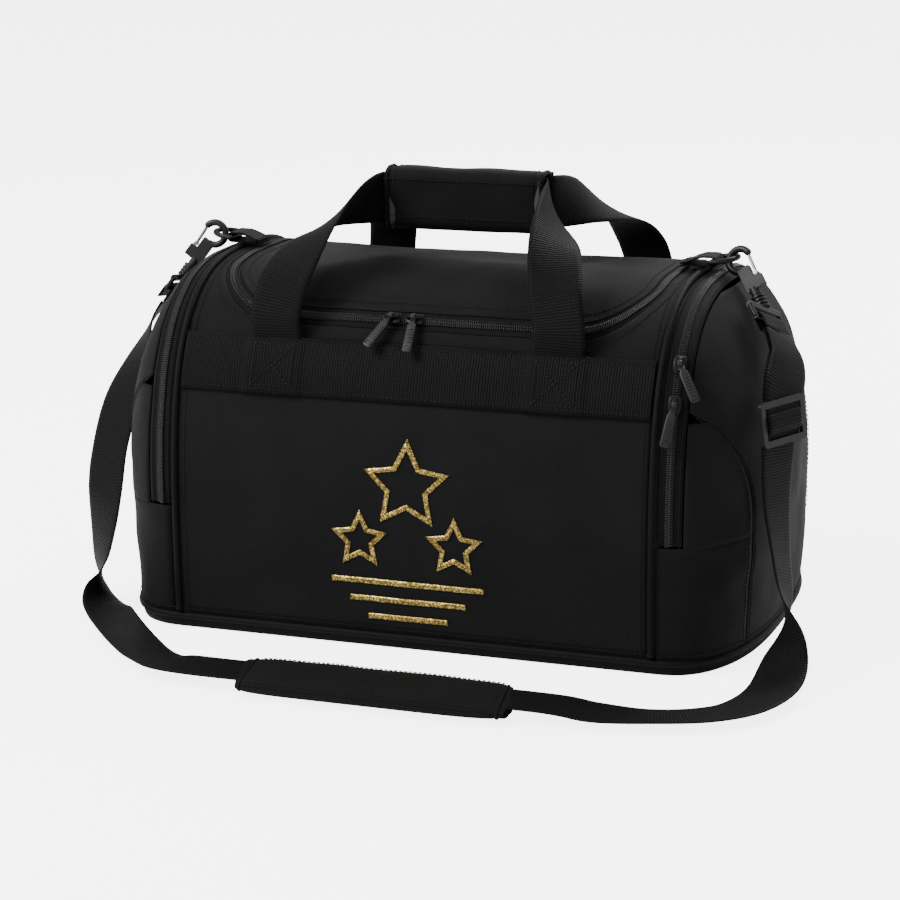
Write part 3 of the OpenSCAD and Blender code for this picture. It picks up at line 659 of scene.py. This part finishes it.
def build_gusset():
    edge_y = float(arch_y(SPLIT_Z))
    inner = lid_path(GUSSET_GAP)
    c, d = LID_HALF - LID_CORNER, LID_FRONT - LID_CORNER
    outer = []
    for px, py in inner:
        if py > -d:
            outer.append((math.copysign(SEAM_X, px), py))
        elif abs(px) < c:
            outer.append((px, -edge_y))
        else:
            dx, dy = abs(px) - c, -py - d
            reach = min((SEAM_X - c) / max(dx, 1e-9), (edge_y - d) / max(dy, 1e-9))
            outer.append((math.copysign(c + dx * reach, px), -d - dy * reach))
    share = np.linspace(0, 1, 14)[None, :, None]
    plan = inner[:, None] * (1 - share) + np.array(outer)[:, None] * share
    share = share[..., 0]
    angles = angle_of_y(plan[:, :1, 1]) * (1 - share) + angle_of_y(plan[:, -1:, 1]) * share
    stands_for(cloth("gusset_cloth", body, plan[..., 0], angles, flip=True), "top_gusset")
    x = np.linspace(-SEAM_X, SEAM_X, 91)[:, None]
    a = np.linspace(float(angle_of_y(LID_BACK + 0.0008)), EDGE_ANGLE, 14)[None, :]
    stands_for(cloth("gusset_back_cloth", body, x, a), "top_gusset")
    x = np.linspace(-LID_HALF, LID_HALF, 81)
    hinge = on_top(x, np.full_like(x, LID_BACK + 0.0002), 0.0003)
    trim(sweep("lid_hinge_fold", hinge, (0, 0, 1), circle(0.0018, 10), MATS["body_fabric"]), "top_gusset")
    sew("gusset_stitches", on_top, *lid_path(0.0165).T, "top_gusset")


def build_lid():
    c, d = LID_HALF - LID_CORNER, LID_FRONT - LID_CORNER
    turn = np.radians(np.linspace(0, 88, 24))
    y = np.concatenate([np.linspace(LID_BACK, -d, 40)[:-1], -d - LID_CORNER * np.sin(turn)])
    half = np.concatenate([np.full(39, LID_HALF), c + LID_CORNER * np.cos(turn)])
    x = np.linspace(-1, 1, 101)[:, None] * half[None, :]
    a = np.broadcast_to(angle_of_y(y)[None, :], x.shape)
    stands_for(cloth("lid_cloth", body, x, a, flip=True), "lid_panel")
    sew("lid_stitches", on_top, *lid_path(-0.006).T, "lid_panel")


def zip_tape(name, g0, g1, owner):
    share = np.linspace(0, 1, 4)[None, :, None]
    plan = lid_path(g0)[:, None] * (1 - share) + lid_path(g1)[:, None] * share
    x, a = plan[..., 0], angle_of_y(plan[..., 1])
    stands_for(skin(name, body, x, a, -0.0005, 0.001, MATS["zip_tape"], flip=True), owner)


TOOTH_PITCH = 0.0016


def teeth(name, centre, outer, up, half_step):
    """Coil turns along a zip, each lying across it from the centre line towards outer."""
    both = even(np.concatenate([centre, outer, up], 1), TOOTH_PITCH)
    if half_step:
        both = (both[1:] + both[:-1]) / 2
    p, q, n = both[:, :3], both[:, 3:6], unit(both[:, 6:])
    across = unit(q - p)
    turns = bar(0.0036, 0.00125, 0.0013)
    return scatter(name, (p + q) / 2 + n * 0.0002, across, np.cross(n, across), n, turns, MATS["zip_coil"])


def main_coil(name, g0, g1, half_step, owner):
    p, q = on_top(*lid_path(g0).T), on_top(*lid_path(g1).T)
    n = (on_top(*lid_path(g0).T, MM) - p) / MM
    stands_for(teeth(name, p, q, n, half_step), owner)


def build_zip():
    zip_tape("lid_tape_cloth", 0.0004, ZIP_LINE - 0.0004, "lid_zip_tape")
    zip_tape("body_tape_cloth", ZIP_LINE + 0.0004, 0.0107, "main_zip_tape")
    main_coil("lid_coil_turns", ZIP_LINE + 0.0005, ZIP_LINE - 0.0024, False, "lid_zip_coil")
    main_coil("body_coil_turns", ZIP_LINE - 0.0005, ZIP_LINE + 0.0024, True, "main_zip_coil")


def build_seams():
    wall = np.linspace(90, 113, 12)[1:]
    a = np.concatenate([-wall[::-1], np.linspace(-90, 90, 150), wall])
    for side, word in SIDES:
        path = body(side * PANEL_HALF, a, 0.0008)
        stands_for(sweep(f"{word}_welt", path, (1, 0, 0), circle(PIPING_R), MATS["piping"]), f"{word}_piping")
        sew(f"{word}_seam_stitches", body, side * (PANEL_HALF - 0.0075), a, f"{word}_piping", "body_fabric")


def build_dividers():
    z = np.linspace(0.009, 0.256, 40)[:, None]
    share = np.linspace(-1, 1, 40)[None, :]
    half = arch_y(np.minimum(0.008 + (z - 0.009) / 0.972, BODY_H - 1e-6)) * (1 - 0.003 / HALF_DEPTH)
    for side, word in SIDES:
        y = share * half
        sway = 0.0012 * ripple(np.stack([0 * y, y, z + 0 * y], -1), 0.08, 41) * edge_fade(40, 0.2)
        top = np.stack([side * PANEL_HALF + 0.0006 + sway, y, z + 0 * y], -1)
        low = top - [0.0012, 0, 0]
        stands_for(shell(f"{word}_divider_cloth", top, low, MATS["lining"], flip=True), f"{word}_divider")
        x = np.sort(side * np.linspace(PANEL_HALF - 0.009, PANEL_HALF + 0.004, 5))[:, None]
        a = np.linspace(-113, 113, 121)[None, :]
        trim(skin(f"{word}_seam_binding", body, x, a, -0.0020, 0.0010, MATS["lining"]), f"{word}_divider")


# ---- end pockets ----



def flipped(side, back=False):
    """Turns a shape of the right end's front into that of another end or the back."""
    return np.array([side, -1 if back else 1, 1])


def build_ends():
    seam = lambda z: np.minimum(seam_angle(z), 90)
    z = np.concatenate([np.linspace(WALL_Z, 0.1, 20)[:-1], np.linspace(0.1, CORNER_Z, 26)[:-1],
                        np.linspace(CORNER_Z, 0.254, 22)])
    wide = dome_angle(TAPE_OUT + MM, z)
    wide = np.where(z <= CORNER_Z, np.minimum(seam(z), wide), wide)
    a = np.linspace(-1, 1, 61)[None, :] * wide[:, None]
    corner = []
    for ends, rows, start in (((WALL_Z, POCKET_ZIP_Z - 0.002), 22, TAPE_IN),
                              ((POCKET_ZIP_Z - 0.002, 0.179), 26, TAPE_OUT + MM)):
        h = np.linspace(*ends, rows)[:, None]
        first, last = dome_angle(start, h), seam(h) + 0.5
        corner.append((-(first + (last - first) * np.linspace(0, 1, 16)[None, :]), h))
    z_seam = np.concatenate([np.linspace(WALL_Z, 0.1, 30)[:-1], np.linspace(0.1, 0.182, 40)])
    for side, word in SIDES:
        end = partial(mirrored, pocket, flipped(side))
        stands_for(cloth(f"{word}_end_cloth", end, a, z[:, None], flip=side > 0), f"{word}_end_panel")
        for back, place in PLACES:
            turn = flipped(side, back)
            for part, (angles, h) in zip(("low", "high"), corner):
                stands_for(cloth(f"{word}_corner_{place}_{part}", partial(mirrored, pocket, turn), angles, h,
                                 flip=(side > 0) == back), f"{word}_corner_{place}")
            for shift, label in ((2.2, "outer"), (-2.2, "inner")):
                angles = -(seam_angle(z_seam) + shift)
                keep = np.abs(angles) < 89
                sew(f"{word}_end_stitches_{place}_{label}", pocket, angles[keep], z_seam[keep],
                    f"{word}_end_panel", turn=turn)


def build_pocket_zips():
    k = np.linspace(-1, 1, 141)
    n = (on_rim(k, POCKET_ZIP_X, MM) - on_rim(k, POCKET_ZIP_X)) / MM
    for side, word in SIDES:
        turn = flipped(side)
        tapes = f"{word}_pocket_tapes"
        for part, edge, sign in (("inner", TAPE_IN, 1), ("outer", TAPE_OUT, -1)):
            x = np.linspace(*sorted((edge, POCKET_ZIP_X - sign * 0.0004)), 5)[None, :]
            stands_for(skin(f"{word}_pocket_tape_{part}", partial(mirrored, on_rim, turn), k[:, None], x,
                            -0.0005, 0.001, MATS["zip_tape"], flip=side < 0), tapes)
        for part, sign in (("inner", 1), ("outer", -1)):
            p = on_rim(k, POCKET_ZIP_X + sign * 0.0005)
            q = on_rim(k, POCKET_ZIP_X - sign * 0.0026)
            stands_for(teeth(f"{word}_pocket_coil_{part}", p * turn, q * turn, n * turn, sign < 0),
                       f"{word}_pocket_coil")
        for part, x in (("inner", TAPE_IN + 0.0022), ("outer", TAPE_OUT - 0.0022)):
            sew(f"{word}_pocket_stitches_{part}", on_rim, k, x, tapes, turn=turn, lift=-0.0004)


# ---- webbing on the body ----
HANDLE_X = 0.106
BAND_LOW, BAND_HIGH = BAND_Z, BAND_Z + WEB_W


def over_leg(x):
    """Where the band passes over the handle legs, 0 to 1."""
    return smoothstep((0.0235 - np.abs(np.abs(x) - HANDLE_X)) / 0.004)


def band_top(back, x, z, lift=0.0):
    angle = skin_angle(z) * (1 if back else -1)
    return body(x, angle, 0.0019 + 0.0014 * over_leg(x) + lift)


SQUARE = [(-1, -1), (1, -1), (1, 1), (-1, 1)]
BOX_STITCH = SQUARE + [(-1, -1), (1, 1), (1, -1), (-1, 1)]


def build_bands():
    x = np.linspace(-PANEL_HALF + 0.0034, PANEL_HALF - 0.0034, 161)[:, None]
    z = np.linspace(BAND_LOW, BAND_HIGH, 12)[None, :]
    for back, word in PLACES:
        band, owner = partial(band_top, back), f"{word}_band"
        stands_for(skin(f"{owner}_webbing", band, x, z, 0, WEB_T, MATS["webbing"], flip=back), owner)
        for edge, height in (("low", BAND_LOW + 0.003), ("high", BAND_HIGH - 0.003)):
            sew(f"{owner}_stitches_{edge}", band, np.linspace(-0.174, 0.174, 200), height, owner)
        for side, place in SIDES:
            box = [(side * HANDLE_X + 0.015 * i, BAND_Z + WEB_W / 2 + 0.0135 * j, 0) for i, j in BOX_STITCH]
            box = even(box, 0.002)
            sew(f"{word}_box_stitches_{place}", band, box[:, 0], box[:, 1], owner, width=0.0009)


TAB_X, TAB_W, TAB_R, TAB_Z = 0.187, 0.022, 0.0025, BODY_H + 0.0034
BAR_Z = TAB_Z + WEB_T + TAB_R


def build_tabs():
    turn = np.radians(np.linspace(-90, 90, 15))
    r = TAB_R + WEB_T / 2
    low = [(0.164, TAB_Z + 0.0002), (0.170, TAB_Z + 0.0008), (0.178, BAR_Z - r)]
    high = [(0.179, BAR_Z + r - 0.0002), (0.173, BAR_Z + r - 0.0022), (0.168, TAB_Z + 0.0029),
            (0.164, TAB_Z + 0.0022)]
    fold = [(TAB_X + r * math.cos(t), BAR_Z + r * math.sin(t)) for t in turn]
    path = np.array([(x, 0, z) for x, z in low + fold + high])
    y = np.linspace(-0.0095, 0.0095, 12)
    for side, word in SIDES:
        p = path * flipped(side)
        stands_for(ribbon(f"{word}_tab_webbing", p, (0, 1, 0), TAB_W), f"{word}_tab")
        for i, x in enumerate((0.1665, 0.1695)):
            line = np.stack([0 * y + side * x, y, 0 * y + TAB_Z + 0.0034 + 0.0003 * i], 1)
            trim(stitches(f"{word}_tab_stitches_{i}", line, (0, 0, 1)), f"{word}_tab")


# ---- print ----
PRINT_HALF = 0.058
STAR_R = 0.034


def star_edge(cx, cz, r, steps=6):
    corners = [(r * (1 if i % 2 == 0 else 0.5), math.radians(36 * i)) for i in range(11)]
    pts = np.array([(cx + q * math.sin(t), cz + q * math.cos(t)) for q, t in corners])
    return np.concatenate([np.linspace(pts[i], pts[i + 1], steps, endpoint=False) for i in range(10)])


def print_layer(name, inner, outer, wrap):
    plan = np.stack([outer, inner], 1)
    x, a = plan[..., 0], -skin_angle(plan[..., 1])
    return skin(name, body, x, a, 0.0007, 0.0006, MATS["gold_print"], wrap=wrap, flip=wrap)


def build_print():
    stars = [(0, 0.122, STAR_R), (-0.036, 0.080, STAR_R * 0.66), (0.036, 0.080, STAR_R * 0.66)]
    for i, (x, z, r) in enumerate(stars):
        star = print_layer(f"print_star_{i}", star_edge(x, z, r - 0.008), star_edge(x, z, r), True)
        stands_for(star, "print_motif")
    for i in range(3):
        half, z = PRINT_HALF - 0.014 * i, 0.048 - 0.013 * i
        x = np.linspace(-half, half, 60)
        low, high = np.stack([x, 0 * x + z], 1), np.stack([x, 0 * x + z + 0.004], 1)
        stands_for(print_layer(f"print_bar_{i}", low, high, False), "print_motif")


# ---- carry handles ----
HANDLE_ROUTE = [
    (106, -116.5, 221, 1, 0, 0), (106, -116.5, 238, 1, 0, 0), (101, -107, 262, 1, 0, 0),
    (92, -80, 286, 0.9, 0.1, -0.3), (80, -40, 301, 0.6, 0.2, -0.8), (67, -11, 305, 0.1, 0.1, -1),
    (56, -5, 305, 0, 0, -1), (0, -4, 305, 0, 0, -1)]
GRIP_HALF, GRIP_DEEP, GRIP_TALL = 0.061, 0.025, 0.047


def handle_path():
    half = np.array(HANDLE_ROUTE, float) * [MM, MM, MM, 1, 1, 1]
    other = half[-2::-1] * [-1, 1, 1, -1, 1, 1]
    route = even(curve(np.concatenate([half, other]), 12), 0.004)
    sewn = [(0.187, 0.0010), (0.197, 0.0010), (0.207, 0.0010), (0.2155, 0.0011)]
    tail = np.array([[*body(HANDLE_X, -skin_angle(z), lift), 1, 0, 0] for z, lift in sewn])
    return np.concatenate([tail, route, tail[::-1] * [-1, 1, 1, -1, 1, 1]])


def build_handles():
    both = handle_path()
    for back, word in PLACES:
        p = both * [*flipped(1, back), *flipped(1, back)]
        web = ribbon(f"{word}_handle_webbing", p[:, :3], p[:, 3:])
        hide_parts(f"{word}_handle")
        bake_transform(web)


def grip_outline(r):
    """The grip's wrap in section, open at the back: (y, z) from the slot's top edge round the front."""
    slot = WEB_W / 2 + 0.0014
    c, s = GRIP_DEEP / 2 - r, GRIP_TALL / 2 - r
    out = [(c + r * 0.95, slot)]
    for cy, cz, first, last in ((c, s, 8, 90), (-c, s, 90, 180), (-c, -s, 180, 270), (c, -s, 270, 352)):
        for t in np.radians(np.linspace(first, last, 9)):
            out.append((cy + r * math.cos(t), cz + r * math.sin(t)))
    return np.array(out + [(c + r * 0.95, -slot)])


def wrap_skin(x, section, lift=0.0):
    """Points of the grip's soft cover along X and its outline in section."""
    n = np.gradient(section, axis=0)
    n = unit(np.stack([n[:, 1], -n[:, 0]], 1))
    x = x[:, None]
    y, z = section[None, :, 0], section[None, :, 1]
    base = np.stack([x + 0 * y, y + 0 * x, GRIP_Z + z + 0 * x], -1)
    puff = 0.0006 * ripple(base, 0.035, 51) - 0.0012 * np.exp(-(((np.abs(x) - GRIP_HALF) / 0.006) ** 2))
    push = puff + lift - 0.0006
    return base + push[..., None] * np.stack([0 * n[:, 0], n[:, 0], n[:, 1]], -1)[None]


def build_grip():
    x = np.linspace(-GRIP_HALF, GRIP_HALF, 49)
    outline = grip_outline(0.009)
    outer = even(np.column_stack([outline, 0 * outline[:, 0]]), 0.002)[:, :2]
    stands_for(skin("grip_wrap", wrap_skin, x, outer, 0, 0.0012, MATS["grip_fabric"]), "grip_cover")
    for side, word in SIDES:
        path = wrap_skin(np.array([side * (GRIP_HALF - 0.0012)]), outer, 0.0002)[0]
        binding = sweep(f"grip_binding_{word}", path, (1, 0, 0), circle(0.0018, 10), MATS["grip_fabric"])
        trim(binding, "grip_cover")
        end = np.array([side * (GRIP_HALF - 0.0075)])
        inner, above = wrap_skin(end, outer)[0], wrap_skin(end, outer, MM)[0]
        trim(stitches(f"grip_end_stitches_{word}", inner, (above - inner) / MM), "grip_cover")
    for word, z in (("low", -0.0125), ("high", 0.0150)):
        line = np.stack([x, 0 * x - GRIP_DEEP / 2 + 0.0001, 0 * x + GRIP_Z + z], 1)
        trim(stitches(f"grip_stitches_{word}", line, (0, -1, 0)), "grip_cover")


# ---- zip sliders and pulls ----
def arch_frame(x, y):
    """Frame on the lid: local Z along the normal, local Y up the slope."""
    p = np.array([x, y, float(arch_z(y))])
    n = unit(np.array([0, *arch_normal(y, p[2])]))
    return np.array([1.0, 0, 0]), np.cross(n, [1.0, 0, 0]), n, p


def pocket_frame(z, side):
    """Frame on the front of an end pocket's zip: local X across it, local Y up along it."""
    def at(x, h):
        return dome(-dome_angle(x, h), h)
    x = POCKET_ZIP_X
    along = unit(at(x, z + 0.002) - at(x, z - 0.002))
    across = unit(at(x + MM, z) - at(x - MM, z))
    n = unit(np.cross(across, along))
    turn = (side, side, 1)
    return [v * turn for v in (np.cross(along, n), along, n, at(x, z))]


def loft_sections(name, sections, mat, where):
    """A closed form through rounded sections (y, half width, low, high), in mm, in a local frame."""
    X, Y, Z, O = where
    corners = circle(1, 20)
    corners = np.sign(corners) * np.abs(corners) ** 0.45
    ring = []
    for y, half, low, high in np.array(sections) * MM:
        for c, s in corners:
            ring.append(O + X * half * c + Y * y + Z * ((low + high) / 2 + (high - low) / 2 * s))
    return new_object(name, np.array(ring), tube_faces(len(sections), len(corners)), mat)


def turned_frame(where, degrees, lift):
    X, Y, Z, O = where
    c, s = math.cos(math.radians(degrees)), math.sin(math.radians(degrees))
    return X * c + Y * s, Y * c - X * s, Z, O + Z * lift


PIN_LIFT = 0.0063
SLIDER_SECTIONS = [(-6.5, 1.6, 2.0, 3.1), (-5.8, 3.4, 1.8, 3.3), (-1, 4.4, 1.8, 3.5), (3, 4.4, 1.8, 3.5),
                   (5.8, 4.0, 1.8, 3.3), (6.5, 2.6, 2.0, 3.1)]
PULL_SECTIONS = [(-30, 2.2, -0.6, 0.6), (-29.4, 3.1, -1.1, 1.1), (-28, 3.5, -1.2, 1.2),
                 (-8.5, 3.3, -1.2, 1.2), (-7, 2.9, -1, 1), (-5.8, 2, -0.8, 0.8), (-2.2, 1.9, -0.8, 0.8)]


def build_slider(slider, pull, where, slant, along_x=False):
    """A slider with its bridge, and its pull with ribs, a slot at the tip and an eye."""
    X, Y, Z, O = where
    O = O + Z * 0.0004
    across, along = (Y, X) if along_x else (X, Y)
    metal, plastic = MATS["slider_metal"], MATS["pull_plastic"]
    stands_for(loft_sections(f"{slider}_body", SLIDER_SECTIONS, metal, (across, along, Z, O)), slider)
    arch = [O + along * (0.0052 * math.cos(t)) + Z * (0.0030 + 0.0038 * math.sin(t))
            for t in np.linspace(0, math.pi, 15)]
    trim(sweep(f"{slider}_bridge", arch, across, strap_section(0.0024, 0.0012)[:, ::-1], metal), slider)
    px, py, pz, po = tag = turned_frame(where, slant, PIN_LIFT)
    stands_for(loft_sections(f"{pull}_tag", PULL_SECTIONS, plastic, tag), pull)
    face = po + pz * 0.0012
    ribs = np.array([face - py * (0.0225 - 0.0022 * i) for i in range(6)])
    axes = [np.broadcast_to(v, ribs.shape) for v in (px, py, pz)]
    trim(scatter(f"{pull}_ribs", ribs, *axes, bar(0.0050, 0.0011, 0.0010), plastic), pull)
    slot = [face + px * (0.0019 * x) - py * (0.0268 - 0.0014 * y) for x, y in SQUARE]
    trim(sweep(f"{pull}_slot", slot, pz, circle(0.0004, 6), MATS["zip_coil"], closed=True), pull)
    eye = [po + Y * y + Z * z for y, z in circle(0.0017, 16)]
    trim(sweep(f"{pull}_eye", eye, X, circle(0.0007, 8) * [1, 2.6], plastic, closed=True), pull)


def build_sliders():
    zip_y = -LID_FRONT - ZIP_LINE
    build_slider("slider_left", "pull_left", arch_frame(-0.022, zip_y), -24, along_x=True)
    build_slider("slider_right", "pull_right", arch_frame(-0.005, zip_y), 4, along_x=True)
    for side, word in SIDES[::-1]:
        for place, z, slant in (("upper", 0.216, 30), ("lower", 0.191, -8)):
            build_slider(f"{word}_slider_{place}", f"{word}_pull_{place}", pocket_frame(z, side), slant)


# ---- shoulder strap ----
PAD_Y, STRAP_Z = -241, 10
STRAP_ROUTE = [
    (-243.3, -14, 217.3, 0.2, -1, 0.1), (-252, -21, 203, 0.3, -0.9, 0), (-257, -39, 178, 0.7, -0.7, 0),
    (-260, -61, 150, 0.9, -0.4, 0), (-260, -85, 116, 0.9, -0.4, 0), (-258, -99, 88, 0.9, -0.4, 0),
    (-260, -102, 58, 0.8, -0.6, 0), (-261, -106, 32, 0.6, -0.8, 0), (-254, -116, 13, 0.1, -1, 0),
    (-238, -138, 6, -0.5, -0.9, 0.1), (-195, -190, 6, -0.8, -0.6, 0.1), (-160, -225, 7, -0.6, -0.8, 0.1),
    (-125, PAD_Y, STRAP_Z, 0, -1, 0), (-40, PAD_Y, STRAP_Z, 0, -1, 0), (55, PAD_Y, STRAP_Z, 0, -1, 0),
    (138, PAD_Y, STRAP_Z, 0, -1, 0), (170, -240, 7, 0.1, -1, 0), (205, -234, 6, 0.2, -1, 0.1),
    (240, -220, 6, 0.6, -0.8, 0.1), (262, -195, 6, 0.9, -0.4, 0.1), (272, -155, 8, 1, -0.2, 0.1),
    (271, -124, 22, 0.8, -0.7, 0), (266, -100, 50, 0.1, -1, 0), (258, -86, 85, -0.1, -1, 0),
    (253, -78, 120, -0.3, -1, 0), (253, -75, 155, -0.4, -0.9, 0), (252, -68, 188, -0.4, -0.9, 0),
    (250, -44, 208, -0.3, -0.9, 0.2), (240.7, -29.9, 222.1, -0.26, -0.9, 0.35)]
RIGHT_AXIS = unit(np.array([53, -43, -72]))
LEFT_AXIS = unit(np.array([-57, -20, -79]))
HOOK_R, HOOK_BAR, RING_BAR, RING_R, RING_DROP, EYE_DROP = 0.0085, 0.0026, 0.0019, 0.013, -9, 0.052


def hook_frame(side):
    axis = RIGHT_AXIS if side > 0 else LEFT_AXIS
    drop = math.radians(RING_DROP)
    reach = 0.004 + RING_R
    ring_tip = np.array([side * (TAB_X + reach * math.cos(drop)), 0, BAR_Z - reach * math.sin(drop)])
    tip = ring_tip + axis * (HOOK_R - HOOK_BAR - RING_BAR - 0.001)
    y = unit(np.array([0.0, side, 0]) - axis * side * axis[1])
    return np.cross(y, -axis), y, -axis, tip


def in_frame(where, pts):
    X, Y, Z, O = where
    p = np.asarray(pts, float)
    return O + p[:, :1] * X + p[:, 1:2] * Y + p[:, 2:] * Z


RETURN_RINGS = 22  # how much of the strap's right end is doubled
GLIDE_PLACE = np.array([254, -72.9, 172.7]) * MM
GLIDE_TURN, GLIDE_TILT = math.radians(65.5), math.radians(82)


def build_glide_loop():
    """The strap where it comes up through the slider and over its middle bar."""
    across = np.array([math.cos(GLIDE_TURN), math.sin(GLIDE_TURN), 0])
    up = np.cross([0, 0, 1], across) * math.cos(GLIDE_TILT) + [0, 0, math.sin(GLIDE_TILT)]
    out = np.cross(across, up)
    half = [(0, 0.0046), (0.0038, 0.0042), (0.0064, 0.0026), (0.0088, -0.0002), (0.0108, -0.0013)]
    line = [(-u, v) for u, v in half[:0:-1]] + half
    path = even(curve([GLIDE_PLACE + up * u + out * v for u, v in line], 4), 0.0012)
    loop = ribbon("strap_over_glide", path, across, WEB_W - MM)
    return trim(loop, "shoulder_strap")


def build_strap():
    route = np.array(STRAP_ROUTE, float) * [MM, MM, MM, 1, 1, 1]
    fine = even(curve(route, 12), 0.004)
    strap = ribbon("strap_webbing", fine[:, :3], fine[:, 3:])
    stands_for(strap, "shoulder_strap")
    going = []
    r = 0.0021 + WEB_T / 2
    turn = np.radians(np.linspace(0, 180, 15))
    fold = [(r * math.cos(t), 0, -EYE_DROP + r * math.sin(t)) for t in turn]
    fold = [(r, 0, -EYE_DROP - 0.010)] + fold + [(-r, 0, -EYE_DROP - 0.010)]
    for side, word in SIDES:
        where = hook_frame(side)
        path = even(in_frame(where, fold), 0.0012)
        end = ribbon(f"strap_end_{word}_webbing", path, where[1], WEB_W - MM)
        going.append(stands_for(end, f"strap_end_{word}"))
    back = fine[len(fine) - RETURN_RINGS:]
    n = unit(np.cross(back[:, 3:], np.gradient(back[:, :3], axis=0)))
    layer = ribbon("strap_return_webbing", back[:, :3] - n * 0.0026, back[:, 3:])
    going += [trim(layer, "shoulder_strap"), build_glide_loop()]
    return strap, fine, float(distance_along(fine[:, :3])[-1]), going


# ---- shoulder pad ----
PAD_X, PAD_LEN, PAD_WIDE = 0.013, 0.205, 0.060


def build_pad():
    rows, around = 81, 48
    t = np.linspace(-1, 1, rows)
    half_w = PAD_WIDE / 2 * (1 - 0.10 * np.abs(t) ** 6)
    slant = 0.010 * np.sign(t) * np.abs(t) ** 8
    rise = 0.0062 * (1 - 0.50 * np.abs(t) ** 8) - 0.0012 * np.exp(-(((np.abs(t) - 0.93) / 0.02) ** 2))
    a = np.linspace(0, 2 * math.pi, around, endpoint=False)
    c, s = np.cos(a), np.sin(a)
    yy = np.sign(c) * np.abs(c) ** 0.55
    zz = np.sign(s) * np.abs(s) ** 0.85
    x = PAD_X + t[:, None] * (PAD_LEN / 2 - 0.002) - (slant * np.sign(t))[:, None] * yy * 0.9
    x = np.clip(x, PAD_X - PAD_LEN / 2, PAD_X + PAD_LEN / 2)
    y = PAD_Y * MM + half_w[:, None] * yy
    z = 0.0075 + rise[:, None] * zz
    P = np.stack([x, y, z], -1)
    P[..., 2] += 0.0004 * ripple(P, 0.03, 61) * (zz[None, :] > 0)
    P[..., 2] = np.maximum(P[..., 2], 0.001)
    faces = grid_faces(rows, around, False, True, True).tolist()
    faces += [list(range(around)), list(range((rows - 1) * around, rows * around))[::-1]]
    uv = uv_grid(t * PAD_LEN / 2, a * 0.022)
    pad = new_object("pad_sleeve", P.reshape(-1, 3), faces, MATS["pad_fabric"], uv)
    stands_for(pad, "shoulder_pad")
    parts = [pad]
    cover = MATS["pad_fabric"]
    for i, word in ((3, "left"), (rows - 4, "right")):
        parts.append(sweep(f"pad_binding_{word}", P[i], (1, 0, 0), circle(0.0013, 8), cover, closed=True))
    for word, sign in (("front", -1), ("back", 1)):
        pick = int(np.argmin(np.abs(yy - sign * 0.86) + (s < 0) * 9))
        parts.append(stitches(f"pad_stitches_{word}", P[5:-5, pick] + [0, 0, 0.0002], (0, 0, 1)))
        pick = 0 if sign > 0 else around // 2
        parts.append(sweep(f"pad_edge_{word}", P[4:-4, pick], (0, 0, 1), circle(0.0012, 8), cover))
    for part in parts[1:]:
        trim(part, "shoulder_pad")
    return parts


# ---- build everything ----
build_base()
build_walls()
build_gusset()
build_lid()
build_zip()
build_seams()
build_dividers()
build_ends()
build_pocket_zips()
build_bands()
build_tabs()
build_print()
build_handles()
build_grip()
build_sliders()
strap, strap_line, strap_length, strap_parts = build_strap()
pad_parts = build_pad()

for name, obj in frame["nodes"].items():
    obj.data.materials.clear()
    obj.data.materials.append(MATS[NODE_SLOT[name]])


# ---- stage ----
def area_light(name, place, target, size, power, tint=(1, 1, 1)):
    light = bpy.data.lights.new(name, "AREA")
    light.shape = "DISK"
    light.size = size
    light.energy = power
    light.color = tint
    obj = bpy.data.objects.new(name, light)
    obj.location = place
    aim = Vector(target) - Vector(place)
    obj.rotation_euler = aim.to_track_quat("-Z", "Y").to_euler()
    bpy.context.scene.collection.objects.link(obj)


FLOOR_HALF = 14.0


def build_stage():
    corners = [(x * FLOOR_HALF, y * FLOOR_HALF, 0) for x, y in SQUARE]
    mat, tree, shader = start_material("studio_floor")
    seen = node(tree, "LightPath").outputs["Is Camera Ray"]
    glow = times(tree, seen, 4.5)
    set_shader(tree, shader, Base_Color=(0.93, 0.93, 0.93, 1), Roughness=0.9,
               Emission_Color=(1, 1, 1, 1), Emission_Strength=glow)
    floor = new_object("studio_floor", corners, [[0, 1, 2, 3]], mat)
    world = bpy.data.worlds.new("studio")
    world.use_nodes = True
    world.node_tree.nodes["Background"].inputs[0].default_value = (1, 1, 1, 1)
    world.node_tree.nodes["Background"].inputs[1].default_value = 0.75
    bpy.context.scene.world = world
    area_light("key", (-1.5, -1.3, 2.0), (0, 0, 0.15), 1.3, 85)
    area_light("rim", (0.6, 1.8, 2.2), (0, 0, 0.2), 1.2, 55)


CAM_TURN, CAM_DROP, CAM_ROLL = 20.0, 14.5, 0.75
CAM_DISTANCE, CAM_RIGHT, CAM_UP = 2.10, -0.016, 0.111


def build_camera():
    a, e, r = (math.radians(v) for v in (CAM_TURN, CAM_DROP, CAM_ROLL))
    forward = Vector((-math.sin(a) * math.cos(e), math.cos(a) * math.cos(e), -math.sin(e)))
    right = Vector((math.cos(a), math.sin(a), 0))
    up = right.cross(forward)
    place = right * CAM_RIGHT + up * CAM_UP - forward * CAM_DISTANCE
    right, up = right * math.cos(r) - up * math.sin(r), up * math.cos(r) + right * math.sin(r)
    data = bpy.data.cameras.new("photo_view")
    data.lens = 110
    data.sensor_width = 36
    camera = bpy.data.objects.new("photo_view", data)
    camera.matrix_world = Matrix((right, up, -forward)).transposed().to_4x4()
    camera.location = place
    bpy.context.scene.collection.objects.link(camera)
    bpy.context.scene.camera = camera


build_stage()
build_camera()
